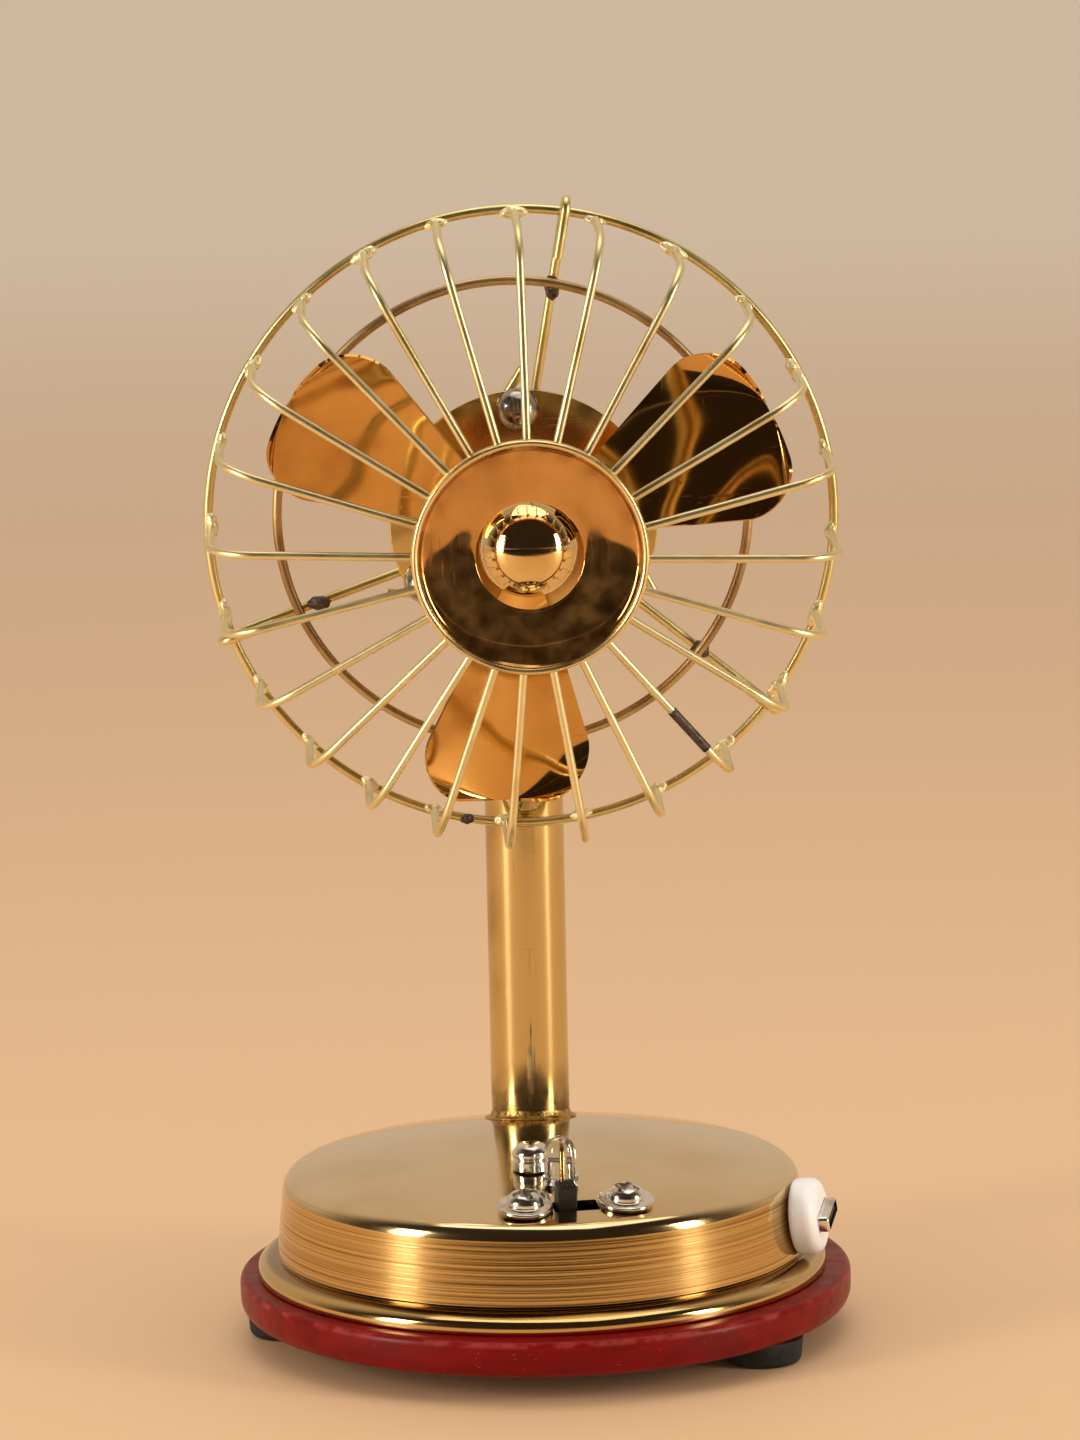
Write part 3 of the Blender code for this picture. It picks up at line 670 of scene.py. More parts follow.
FOOT_RADIUS = 6.5
for node in sorted(name for name in frame["nodes"] if name.startswith("rubber_foot_")):
    under = WOOD_BOTTOM - 0.02
    foot = lathe(rounded([(0, under, 0), (FOOT_RADIUS, under, 0.2), (FOOT_RADIUS - 0.3, 0.8, 0.3),
                          (FOOT_RADIUS - 0.9, 0.0, 0.8), (0, 0.0, 0)]), 64)
    settle(piece(node + "_moulded", foot, RUBBER, upright(node)), "root", "rubber", node)

# %% [markdown]
# ## The drum
# One sheet of brass spun to a shallow cup: a low dome, a soft shoulder, a wall that leans out
# as it goes down, a narrow undercut and a bulged flange that sits on the wood. The turning tool
# left ridges a few thousandths of a millimetre high. On a mirror even that much scatters the
# light into lines, so they are modelled, a little coarser than the real ones so that they show.

# %% Drum
RIM_RADIUS = 40.4
DOME_RISE = 4.5
RIM_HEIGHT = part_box("base_drum")[1].z / MM - DOME_RISE
SHOULDER = 2.8
SHOULDER_MIDDLE = Vector((RIM_RADIUS - 0.93, RIM_HEIGHT - 2.66))
SHOULDER_ARC = [SHOULDER_MIDDLE + SHOULDER * Vector((math.cos(turn), math.sin(turn)))
                for turn in (math.radians(78 - 8 * step) for step in range(10))]
WALL_HEAD = SHOULDER_ARC[-1]
WALL_FOOT = Vector((43.3, 14.3))
DRUM_WALL = 0.8
DRUM_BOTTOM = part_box("base_drum")[0].z / MM - 0.25
LINES = 64
LINE_DEPTH = 0.0032


def dome_height(x, y):
    """Height of the domed top, given in millimetres from the drum's axis."""
    return RIM_HEIGHT + DOME_RISE * (1 - (x * x + y * y) / RIM_RADIUS ** 2)


def drum_outline():
    spans = [SHOULDER_ARC[0].x * step / 22 for step in range(22)]
    dome = [Vector((span, dome_height(span, 0))) for span in spans]
    wall = []
    for line in range(LINES + 1):
        wave = math.sin(2.4 * line) + 0.8 * math.sin(5.3 * line + 1.0) + 0.3 * math.sin(0.9 * line)
        wall.append(WALL_HEAD.lerp(WALL_FOOT, line / LINES) + Vector((LINE_DEPTH * wave, 0.0)))
    flange = rounded([(*WALL_FOOT, 0), (42.9, 13.7, 0.5), (44.6, 13.5, 1.0), (46.6, 12.4, 1.3),
                      (46.6, DRUM_BOTTOM, 0.5), (45.6, DRUM_BOTTOM, 0)], 6)[1:]
    inside = plain((42.4, 12.6), (WALL_FOOT.x - DRUM_WALL, WALL_FOOT.y),
                   (WALL_HEAD.x - DRUM_WALL, WALL_HEAD.y), (RIM_RADIUS, RIM_HEIGHT - DRUM_WALL))
    ceiling = [Vector((point.x, point.y - DRUM_WALL)) for point in dome[20::-4]]
    return dome + SHOULDER_ARC[:-1] + wall + flange + inside + ceiling


drum = piece("spun_drum", lathe(drum_outline(), 288), DRUM_BRASS, DRUM)

# %% [markdown]
# The switch, the lamp and the bolt stand on the dome. The switch's frame lies flat on it: its
# side is the way the knob slides, and it leans as the dome does there. A slot is cut through the
# sheet for the knob, wider than the knob by its travel, so a dark gap shows beside it.

# %% Switch slot
SWITCH = (5.5, -33.9)          # from the drum's axis
SLOT = (7.3, 4.0)
SLIDE = Vector(JOINTS["switch_slide"]["axis"]).normalized()
lean = math.atan(2 * DOME_RISE * math.hypot(*SWITCH) / RIM_RADIUS ** 2)
away = Vector((SLIDE.y, -SLIDE.x, 0.0))
outward = (math.cos(lean) * SKY + math.sin(lean) * away).normalized()


def on_dome(spot, lift=0.0):
    return DRUM @ Matrix.Translation((*spot, dome_height(*spot) + lift))


SWITCH_FRAME = frame_of(on_dome(SWITCH).translation, SLIDE, outward.cross(SLIDE), outward)
cut(drum, piece("slot_cutter", block((*SLOT, 8.0), rounding=0.4, rounds=4), BLACK, SWITCH_FRAME))
settle(drum, "root", "brass", "base_drum")

# %% [markdown]
# ## Tubes and wire
# Rods and wires follow a path. A curve with a round bevel makes them, and it is turned into a
# mesh at once so that its loose end caps can be welded shut.


# %% A rod along a path
BEVEL = 4                      # gives a rod 2 x (4 + 2) sides
WELD = 0.001                   # millimetres between corners that become one


def rod_along(name, points, radius, finish, place):
    curve = bpy.data.curves.new(name, "CURVE")
    curve.dimensions = "3D"
    curve.bevel_depth = radius
    curve.bevel_resolution = BEVEL
    curve.use_fill_caps = True
    spline = curve.splines.new("POLY")
    spline.points.add(len(points) - 1)
    for target, point in zip(spline.points, points):
        target.co = (*point, 1.0)
    carrier = bpy.data.objects.new(name, curve)
    bpy.context.collection.objects.link(carrier)
    mesh = bpy.data.meshes.new_from_object(carrier.evaluated_get(bpy.context.evaluated_depsgraph_get()))
    bpy.data.objects.remove(carrier)
    shape = bmesh.new()
    shape.from_mesh(mesh)
    bmesh.ops.remove_doubles(shape, verts=shape.verts, dist=WELD)
    bmesh.ops.recalc_face_normals(shape, faces=shape.faces)
    return piece(name, shape, finish, place)


print("a rod has", 2 * (BEVEL + 2), "sides")

# %% [markdown]
# ## The post
# The post is drawn tube, cut at the top to sit under the round motor housing and soldered at
# both ends. The flame has browned its foot, where a low collar of solder follows the dome.

# %% Post, saddle and collar
POST_RADIUS = 6.55
POST_BORE = 5.55
POST_FOOT = 27.6
POST_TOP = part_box("post_tube")[1].z / MM
CUP_RADIUS = 14.5
post_spot = DRUM.inverted() @ POST.translation
tube = lathe(plain((POST_RADIUS, POST_TOP), (POST_RADIUS, POST_FOOT), (POST_BORE, POST_FOOT),
                   (POST_BORE, POST_TOP)), 96, closed=True)
post = piece("drawn_post", tube, POST_BRASS, POST)
saddle = lathe(plain((0, 6), (CUP_RADIUS, 6), (CUP_RADIUS, -40), (0, -40)), 192)
cut(post, piece("saddle_cutter", saddle, BLACK, HEAD))
settle(post, "root", "brass", "post_tube")

collar_line = flowing([(POST_RADIUS - 0.1, 1.5), (POST_RADIUS + 0.12, 1.0), (6.95, 0.45), (7.55, 0.3),
                       (7.65, 0.05), (7.0, -0.5), (POST_RADIUS - 0.1, -0.4)], 5)
collar = lathe(collar_line, 96, closed=True)
for corner in collar.verts:
    sway = 0.08 * math.sin(3 * math.atan2(corner.co.y, corner.co.x) + 0.6)
    corner.co.z += dome_height(post_spot.x + corner.co.x, post_spot.y + corner.co.y) + sway
settle(piece("post_collar", collar, COLLAR_SOLDER, POST), "root", "brass")

# %% [markdown]
# ## The motor's housing and plate
# Behind the guard a spun cup holds the motor, closed in front by a round plate. Three domed
# screws hold the plate and, with the wire eyes wound round them, the guard. Seen from the side
# the cup is the fan's largest plain surface, so its back is well rounded and carries two faint
# spinning steps.

# %% Housing, plate and its screws
PLATE_RADIUS = 21.9
PLATE_THICK = 0.7
CUP_BACK = -29.5
CUP_WALL = 0.8

cup_outline = rounded([(0, CUP_BACK + CUP_WALL, 0), (CUP_RADIUS - CUP_WALL, CUP_BACK + CUP_WALL, 3.6),
                       (CUP_RADIUS - CUP_WALL, -PLATE_THICK, 0), (CUP_RADIUS, -PLATE_THICK, 0.15),
                       (CUP_RADIUS, -22.0, 0.3), (CUP_RADIUS - 0.25, -22.3, 0.3),
                       (CUP_RADIUS - 0.25, CUP_BACK + 0.2, 4.6), (6.0, CUP_BACK, 0.4),
                       (5.6, CUP_BACK + 0.3, 0.4), (0, CUP_BACK + 0.3, 0)], 10)
settle(piece("spun_housing", lathe(cup_outline, 192), SPUN_BRASS, HEAD), "root", "brass",
       "motor_housing")

plate_outline = rounded([(3.6, 0, 0.1), (PLATE_RADIUS, 0, 0.25), (PLATE_RADIUS, -PLATE_THICK, 0.1),
                         (3.6, -PLATE_THICK, 0.1)], 4, closed=True)
settle(piece("polished_plate", lathe(plate_outline, 192, closed=True), PLATE_BRASS, HEAD),
       "root", "brass", "housing_plate")

SCREW_DOME = 3.45
SCREW_BASE = 0.85
SCREW_CROWN = 3.9
screw_outline = domed(SCREW_DOME, SCREW_BASE, SCREW_CROWN - SCREW_BASE, 5, 19)
screw_outline += rounded([(SCREW_DOME, SCREW_BASE - 0.1, 0), (3.55, SCREW_BASE - 0.25, 0.1),
                          (3.55, 0.02, 0.1), (1.4, 0.02, 0), (1.4, -4.5, 0), (0, -4.5, 0)], 3)
for index in (1, 2, 3):
    centre = HEAD.inverted() @ middle_of(f"plate_screw_{index}")
    spot = HEAD @ Matrix.Translation((*centre.xy, 0.0))
    settle(piece(f"domed_screw_{index}", lathe(screw_outline, 72), BALL_STEEL, spot), "root", "nickel",
           f"plate_screw_{index}")

# %% [markdown]
# ## Rings and arms
# The guard hangs on two rings. The front one takes the cage's wires and the smaller one stands
# behind the blades. Three arms join them to the plate: each starts as a tail, winds once round
# its screw, runs out behind both rings and hooks forward over the front one, where it is cut
# off square.

# %% Rings
ROD = 0.78                     # a hair thinner than the plain rod, so the rings stay in its box
RING_RADIUS = 51.0
RING_SHIFT = Vector((-0.35, 0.5, 0.0))
REAR_RADIUS = 38.4
REAR_SHIFT = Vector((-1.75, 1.5, 0.0))
RING_DEPTH = 0.05


def ring(name, radius, shift, finish, node):
    turns = [math.tau * step / 16 for step in range(16)]
    round_wire = [Vector((radius + ROD * math.cos(turn), ROD * math.sin(turn))) for turn in turns]
    made = piece(name, lathe(round_wire, 320, closed=True), finish,
                 HEAD @ Matrix.Translation((*shift.xy, RING_DEPTH)))
    return settle(made, "root", "brass_wire", node)


ring("front_ring_wire", RING_RADIUS, RING_SHIFT, RING_WIRE, "outer_ring")
ring("rear_ring_wire", REAR_RADIUS, REAR_SHIFT, REAR_WIRE, "rear_ring")

# %% Arms
PLATE_SCREW_RADIUS = 18.8
PLATE_SCREW_ANGLES = (92.4, 210.0, 331.6)
HOOK_ANGLES = (81.2, 201.1, 321.4)
HOOK = 1.85
ARM_DEPTH = RING_DEPTH - HOOK
EYE = 2.6
TAIL = 6.5
HOOK_RETURN = 7.4


def polar(radius, angle, depth=0.0, shift=Vector()):
    turn = math.radians(angle)
    return shift + Vector((radius * math.cos(turn), radius * math.sin(turn), depth))


def arm_path(screw_angle, hook_angle):
    screw = polar(PLATE_SCREW_RADIUS, screw_angle, ARM_DEPTH)
    hook = polar(RING_RADIUS, hook_angle, ARM_DEPTH, RING_SHIFT)
    along = (hook - screw).normalized()
    side = Vector((along.y, -along.x, 0.0))
    path = [screw - 0.5 * side + TAIL * along]
    for step in range(13):
        turn = math.radians(180 - 15 * step)
        path.append(screw + EYE * (side * math.cos(turn) - along * math.sin(turn)))
    along = (hook - path[-1]).normalized()
    for step in range(13):
        turn = math.radians(15 * step)
        path.append(hook + HOOK * (SKY + along * math.sin(turn) - SKY * math.cos(turn)))
    return path + [path[-1] - HOOK_RETURN * along]


for index, (screw_angle, hook_angle) in enumerate(zip(PLATE_SCREW_ANGLES, HOOK_ANGLES), 1):
    made = rod_along(f"hooked_arm_{index}", arm_path(screw_angle, hook_angle), ROD, RING_WIRE, HEAD)
    settle(made, "root", "brass_wire", f"guard_arm_{index}")

# %% [markdown]
# ## The cage by rule
# Twenty-four wires leave the front ring, run forward, bend over and end behind the medallion.
# They differ only in the angle they stand at, so Geometry Nodes make them: one three-point line
# is duplicated, each copy learns its number, and its points are placed by formula. The wires
# stray a few degrees from even spacing, as they do on a piece soldered by eye. Fillet Curve
# makes the bend, Curve to Mesh gives the wire its thickness, and a slow noise takes away the
# ruler-straight look.


# %% A tree, its sizes and what grows from it
def new_tree(name, **sizes):
    """A Geometry Nodes tree with named inputs, each a float, a whole number or a material."""
    kinds = {float: "NodeSocketFloat", int: "NodeSocketInt", bpy.types.Material: "NodeSocketMaterial"}
    tree = bpy.data.node_groups.new(name, "GeometryNodeTree")
    for label, value in sizes.items():
        tree.interface.new_socket(label, in_out="INPUT", socket_type=kinds[type(value)])
    tree.interface.new_socket("Geometry", in_out="OUTPUT", socket_type="NodeSocketGeometry")
    return tree, add(tree, "NodeGroupInput").outputs


def grow(tree, kind, inputs, **options):
    """A geometry node's first output."""
    return add(tree, "GeometryNode" + kind, inputs, **options).outputs[0]


def close_tree(tree, geometry, finish):
    """Every tree ends the same way: real faces, smooth shading, one material."""
    real = grow(tree, "RealizeInstances", {"Geometry": geometry})
    smooth = grow(tree, "SetShadeSmooth", {"Geometry": real})
    painted = grow(tree, "SetMaterial", {"Geometry": smooth, "Material": finish})
    add(tree, "NodeGroupOutput", {"Geometry": painted})


def grown(name, tree, sizes, place):
    """Runs a tree once, keeps the plain mesh and puts it in its frame."""
    made = bpy.data.objects.new(name, bpy.data.meshes.new(name))
    bpy.context.collection.objects.link(made)
    modifier = made.modifiers.new("grow", "NODES")
    modifier.node_group = tree
    for item in tree.interface.items_tree:
        if item.in_out == "INPUT":
            modifier[item.identifier] = sizes[item.name]
    baked(made)
    made.data.transform(place)
    made.data.set_sharp_from_angle(angle=SHARP)
    return made


print("a tree's inputs are floats, whole numbers or materials")


# %% Where wire number k stands
def wire_angle(tree, number, sizes):
    """First - 360 k / count - stray, in radians. The stray repeats once, twice and thrice a turn."""
    turn = maths(tree, "MULTIPLY", maths(tree, "DIVIDE", number, sizes["Count"]), math.tau)
    once = maths(tree, "SINE", turn)
    twice = maths(tree, "SINE", maths(tree, "MULTIPLY", turn, 2.0))
    twice = maths(tree, "ADD", twice, maths(tree, "COSINE", turn))
    twice = maths(tree, "MULTIPLY", twice, sizes["Stray twice"])
    thrice = maths(tree, "COSINE", maths(tree, "MULTIPLY", turn, 3.0))
    thrice = maths(tree, "MULTIPLY", thrice, sizes["Stray thrice"])
    stray = maths(tree, "MULTIPLY_ADD", once, sizes["Stray once"], sizes["Stray mean"])
    stray = maths(tree, "SUBTRACT", maths(tree, "SUBTRACT", stray, twice), thrice)
    even = maths(tree, "SUBTRACT", maths(tree, "RADIANS", sizes["First angle"]), turn)
    return maths(tree, "SUBTRACT", even, maths(tree, "RADIANS", stray))


def on_circle(tree, angle, radius, depth, shift=(0.0, 0.0, 0.0)):
    """A point at an angle and a radius round a shifted centre."""
    flat = vector(tree, maths(tree, "COSINE", angle), maths(tree, "SINE", angle))
    raised = shifted(tree, scaled(tree, flat, radius), vector(tree, z=depth))
    return shifted(tree, raised, shift)


WIRES = {"Count": 24, "First angle": 91.0, "Stray mean": 2.8, "Stray once": 1.8, "Stray twice": 1.4,
         "Stray thrice": 0.8}
print("wires stand", 360 / WIRES["Count"], "degrees apart, more or less")

# %% Guard wires
cage_sizes = dict(WIRES, **{"Ring radius": 50.6, "Bend depth": 22.0, "Bend": 7.5, "End radius": 17.4,
                            "End depth": 25.8, "Wire": 0.69, "Sway": 0.14, "Finish": GUARD_WIRE})
cage, size = new_tree("guard_cage", **cage_sizes)
line = grow(cage, "MeshToCurve", {"Mesh": grow(cage, "MeshLine", {"Count": 3})})
copies = add(cage, "GeometryNodeDuplicateElements", {"Geometry": line, "Amount": size["Count"]},
             domain="SPLINE")
angle = wire_angle(cage, copies.outputs[1], size)
corners = [on_circle(cage, angle, size["Ring radius"], RING_DEPTH, tuple(RING_SHIFT)),
           on_circle(cage, angle, size["Ring radius"], size["Bend depth"], tuple(RING_SHIFT)),
           on_circle(cage, angle, size["End radius"], size["End depth"])]
which = add(cage, "GeometryNodeSplineParameter").outputs["Index"]
spot = corners[0]
for passed, corner in ((0.5, corners[1]), (1.5, corners[2])):
    spot = grow(cage, "Switch", {0: maths(cage, "GREATER_THAN", which, passed), 1: spot, 2: corner},
                input_type="VECTOR")
placed = grow(cage, "SetPosition", {"Geometry": copies.outputs[0], "Position": spot})
bent = grow(cage, "FilletCurve", {"Curve": placed, "Radius": size["Bend"], "Count": 14}, mode="POLY")
even = grow(cage, "ResampleCurve", {"Curve": bent, "Count": 60})
wander = add(cage, "ShaderNodeTexNoise", {"Scale": 0.06, "Detail": 1.0}).outputs["Color"]
wander = scaled(cage, shifted(cage, wander, (0.5, 0.5, 0.5), "SUBTRACT"), size["Sway"])
swayed = grow(cage, "SetPosition", {"Geometry": even, "Offset": wander})
section = grow(cage, "CurvePrimitiveCircle", {"Resolution": 12, "Radius": size["Wire"]})
solid = grow(cage, "CurveToMesh", {"Curve": swayed, "Profile Curve": section, "Fill Caps": True})
close_tree(cage, solid, size["Finish"])
guard_wires = [name for name in frame["nodes"] if name.startswith("guard_wire_")]
settle(grown("guard_cage_wires", cage, cage_sizes, HEAD), "root", "brass_wire", *guard_wires)

# %% [markdown]
# ## Solder
# Each joint has its own blob, made by a flame and never twice the same. A second tree puts one
# at every wire, on the ring or behind the medallion, from the same rule for the angles. A round
# blob is stretched along the ring and scaled at random from a fixed seed, and once the copies are
# real their faces are pushed about by noise, so no two match.

# %% Solder blobs
drops, size = new_tree("solder_drops", **dict(WIRES, **{
    "Radius": 1.0, "Depth": 1.0, "Shift x": 1.0, "Shift y": 1.0, "Along ring": 1.0, "Across": 1.0,
    "Rough": 1.0, "Seed": 1, "Finish": SOLDER}))
count = grow(drops, "MeshLine", {"Count": size["Count"]})
angle = wire_angle(drops, grow(drops, "InputIndex", None), size)
centre = vector(drops, size["Shift x"], size["Shift y"])
spots = grow(drops, "SetPosition", {"Geometry": count, "Position": on_circle(
    drops, angle, size["Radius"], size["Depth"], centre)})
ball = grow(drops, "MeshIcoSphere", {"Radius": 1.0, "Subdivisions": 4})
grade = add(drops, "FunctionNodeRandomValue", {2: 0.75, 3: 1.2, "Seed": size["Seed"]}).outputs[1]
stretch = scaled(drops, vector(drops, size["Across"], size["Along ring"], size["Across"]), grade)
blobs = grow(drops, "InstanceOnPoints", {"Points": spots, "Instance": ball, "Scale": stretch,
                                         "Rotation": vector(drops, z=angle)})
blobs = grow(drops, "RealizeInstances", {"Geometry": blobs})
lumps = add(drops, "ShaderNodeTexNoise", {"Scale": 0.55, "Detail": 2.0}).outputs[0]
lumps = maths(drops, "MULTIPLY", maths(drops, "SUBTRACT", lumps, 0.5), size["Rough"])
push = scaled(drops, grow(drops, "InputNormal", None), lumps)
blobs = grow(drops, "SetPosition", {"Geometry": blobs, "Offset": push})
close_tree(drops, blobs, size["Finish"])

FRONT_DROPS = {"Radius": 50.5, "Depth": RING_DEPTH + 0.75, "Shift x": RING_SHIFT.x,
               "Shift y": RING_SHIFT.y, "Along ring": 2.2, "Across": 0.95, "Rough": 1.3, "Seed": 4,
               "Finish": SOLDER}
BACK_DROPS = {"Radius": 17.7, "Depth": 26.2, "Shift x": 0.0, "Shift y": 0.0, "Along ring": 1.0,
              "Across": 0.8, "Rough": 0.8, "Seed": 9, "Finish": SOLDER}
for name, sizes in (("ring_solder", FRONT_DROPS), ("medallion_solder", BACK_DROPS)):
    settle(grown(name, drops, dict(WIRES, **sizes), HEAD), "root", "brass_wire")

# %% [markdown]
# The arms are fixed to the rear ring with darker joints, where the flux burnt. One guard wire
# carries a burnt sleeve half way along, and the front ring has one dark spot. They are few and
# all different, so each is placed one by one in the head's frame.


# %% Burnt joints
def lump(centre, radii, seed):
    shape = bmesh.new()
    bmesh.ops.create_icosphere(shape, subdivisions=4, radius=1.0)
    for corner in shape.verts:
        wave = math.sin(5.1 * corner.co.x + seed) * math.cos(4.3 * corner.co.y - seed)
        corner.co *= 1 + 0.12 * wave + 0.07 * math.sin(9.0 * corner.co.z + 2 * seed)
        corner.co = Vector([value * radius for value, radius in zip(corner.co, radii)])
    bmesh.ops.translate(shape, vec=centre, verts=shape.verts)
    return shape


def arm_crossing(index, radius):
    """Where an arm is this far from the rear ring's middle."""
    path = arm_path(PLATE_SCREW_ANGLES[index], HOOK_ANGLES[index])
    start, end = path[13], path[14]
    along = (end - start).normalized()
    from_centre = start - REAR_SHIFT - SKY * ARM_DEPTH
    half = from_centre.dot(along)
    return start + along * (-half + math.sqrt(half ** 2 - from_centre.length_squared + radius ** 2))


BURNT_JOINTS = ((REAR_RADIUS - 0.9, (1.1, 1.9, 1.2)), (REAR_RADIUS - 3.4, (1.9, 1.1, 1.1)),
                (REAR_RADIUS + 0.2, (1.5, 1.5, 1.3)))
for index, (radius, sizes) in enumerate(BURNT_JOINTS):
    joint = lump(arm_crossing(index, radius) + SKY * 0.8, sizes, index + 1.0)
    settle(piece(f"burnt_joint_{index + 1}", joint, BURNT, HEAD), "root", "brass_wire")

SLEEVE_ANGLE = -49.9           # where wire number 10 stands
SLEEVE_RADIUS = 0.80
DARK_SPOT_ANGLE = -101.2
wire_corner = polar(cage_sizes["Ring radius"], SLEEVE_ANGLE, cage_sizes["Bend depth"], RING_SHIFT)
wire_end = polar(cage_sizes["End radius"], SLEEVE_ANGLE, cage_sizes["End depth"])
sleeve = [wire_corner.lerp(wire_end, part) for part in (0.20, 0.29, 0.38, 0.47)]
settle(rod_along("burnt_sleeve", sleeve, SLEEVE_RADIUS, BURNT, HEAD), "root", "brass_wire")
dark_spot = lump(polar(RING_RADIUS, DARK_SPOT_ANGLE, RING_DEPTH + 0.5, RING_SHIFT), (1.2, 0.8, 0.8), 5.0)
settle(piece("burnt_ring_spot", dark_spot, BURNT, HEAD), "root", "brass_wire")

# %% [markdown]
# ## The medallion
# A disc with a hole, dished forward and rolled over at its edge. Its outline is one smooth closed
# line: a shallow cone round the hole, a curve up to the lip, and the lip rolled back on itself.
# The slope decides what the mirror shows, the floor in its upper half and the dark room in its
# lower. It was soldered on by eye, so it leans back a little from the motor's axis.

# %% Medallion
MEDALLION_LEAN = 1.5           # degrees that it looks up from the motor's axis
MEDALLION_DEPTH = 27.0

medallion_line = flowing([
    (9.0, 26.72), (12.6, 26.97), (15.4, 27.3), (16.9, 27.65), (17.6, 28.2), (18.0, 28.68), (18.45, 28.86),
    (18.82, 28.55), (18.93, 27.9), (18.8, 27.3), (18.2, 26.95), (16.6, 26.8), (13.0, 26.4), (9.0, 26.3),
    (8.9, 26.5)], 7)
lean_back = (Matrix.Translation((0, 0, MEDALLION_DEPTH))
             @ Matrix.Rotation(math.radians(-MEDALLION_LEAN), 4, "X")
             @ Matrix.Translation((0, 0, -MEDALLION_DEPTH)))
settle(piece("dished_medallion", lathe(medallion_line, 256, closed=True), MEDALLION_BRASS,
             HEAD @ lean_back), "root", "brass", "medallion")

# %% [markdown]
# ## The propeller
# Everything that turns rides on the rotor: a brass hub on the motor's shaft, the mirror spinner
# that fills the medallion's hole, and three blades cut by hand from sheet. A blade is a flat
# grid bent by formula: it narrows to its root along straight sides, its tip corners are rounded,
# it is pitched more at the root than at the tip, and its edges curl forward. Solidify gives the
# sheet its half millimetre.

# %% Hub and spinner
hub_line = rounded([(1.3, 16.2, 0), (4.6, 16.2, 0.5), (4.6, 7.5, 0.5), (1.3, 7.5, 0)], 6, closed=True)
settle(piece("turned_hub", lathe(hub_line, 96, closed=True), SPUN_BRASS, HEAD), "rotor", "brass",
       "propeller_hub")

SPINNER_RADIUS = 7.9
SPINNER_SEAT = 20.6
SPINNER_RISE = 6.8
spinner_line = domed(SPINNER_RADIUS, SPINNER_SEAT, SPINNER_RISE, 3, 31)
spinner_line += plain((7.85, 20.3), (7.3, 20.3), (6.4, 23.0), (4.9, 24.7), (2.8, 25.5), (2.8, 16.8),
                      (1.3, 16.8), (1.3, 20.5), (0.0, 20.5))
settle(piece("mirror_spinner", lathe(spinner_line, 192), SPINNER_BRASS, HEAD), "rotor", "brass",
       "spinner_cap")

# %% Blades
BLADE_ANGLES = (26.5, 148.5, 264.0)
BLADE_ROOT = 4.5
BLADE_TIP = 44.0
BLADE_CORNER = 8.0
BLADE_HALF = math.radians(21.5)
BLADE_DEPTH = 11.0
BLADE_PITCH = (30.0, 17.0)
BLADE_CUP = 2.6
BLADE_SHEET = 0.5


def blade_half_width(radius):
    straight = BLADE_TIP - BLADE_CORNER
    if radius <= straight:
        return radius * math.sin(BLADE_HALF)
    over = radius - straight
    return (straight * math.sin(BLADE_HALF) - BLADE_CORNER
            + math.sqrt(max(BLADE_CORNER ** 2 - over ** 2, 0.0)) + 0.25 * over)


def blade_sheet(angle, seed):
    """A bent grid. The seed shifts the faint ripple that hand work leaves."""
    sheet = bmesh.new()
    bmesh.ops.create_grid(sheet, x_segments=64, y_segments=36, size=1.0)
    for corner in sheet.verts:
        across = math.sin(corner.co.y * math.pi / 2)
        part = math.sin((corner.co.x + 1) * math.pi / 4)
        radius = BLADE_ROOT + (BLADE_TIP - BLADE_ROOT) * part
        offset = blade_half_width(radius) * across
        pitch = math.radians(BLADE_PITCH[0] + (BLADE_PITCH[1] - BLADE_PITCH[0]) * part)
        ripple = 0.16 * math.sin(radius / 5.5 + seed) * math.sin(offset / 4.0 + 2 * seed)
        depth = BLADE_DEPTH - offset * math.tan(pitch) + BLADE_CUP * part * across ** 2 + ripple * part
        corner.co = Vector((math.sqrt(max(radius ** 2 - offset ** 2, 0.0)), offset, depth))
    bmesh.ops.rotate(sheet, verts=sheet.verts, matrix=Matrix.Rotation(math.radians(angle), 3, "Z"))
    return sheet


for index, angle in enumerate(BLADE_ANGLES, 1):
    blade = piece(f"hand_cut_blade_{index}", blade_sheet(angle, 1.3 * index), BLADE_BRASS, HEAD)
    sheet = blade.modifiers.new("sheet", "SOLIDIFY")
    sheet.thickness = BLADE_SHEET * MM
    sheet.offset = 0.0
    baked(blade).data.set_sharp_from_angle(angle=SHARP)
    settle(blade, "rotor", "brass", f"blade_{index}")

# %% [markdown]
# ## On the drum
# Two pan-head screws with washer flanges hold the switch. A cross recess is cut into each head,
# turned by chance as a screwdriver leaves it. The knob is a small black block with ridges for a
# fingertip. Behind it stand a clear lamp and the tall bolt that ties the drum to its foot.


# %% Cross-head screws
SCREW_REACH = 8.15


def cross_head(side, reach, turn):
    """A screw beside the switch, its recess turned by this many degrees."""
    name = "cross_screw_" + side
    place = SWITCH_FRAME @ Matrix.Translation((reach, 0, 0))
    head = rounded([(0, 3.0, 0), (1.7, 2.95, 1.0), (2.85, 2.0, 0.9), (2.95, 1.15, 0.2), (3.2, 1.0, 0.2),
                    (4.4, 0.85, 0.3), (4.55, 0.55, 0.2), (4.3, 0.03, 0.1), (1.1, 0.03, 0), (1.1, -3.0, 0),
                    (0, -3.0, 0)], 6)
    made = piece(name, lathe(head, 96), NICKEL, place)
    spin = place @ Matrix.Rotation(math.radians(turn), 4, "Z")
    arms = [piece(f"{name}_cutter_{quarter}", block((4.2, 1.15, 3.6), (0, 0, 3.1), 0.12, 2, quarter),
                  NICKEL, spin) for quarter in (0, 90)]
    settle(cut(made, *arms), "root", "nickel", "switch_screw_" + side)


cross_head("left", -SCREW_REACH, 12)
cross_head("right", SCREW_REACH, 52)

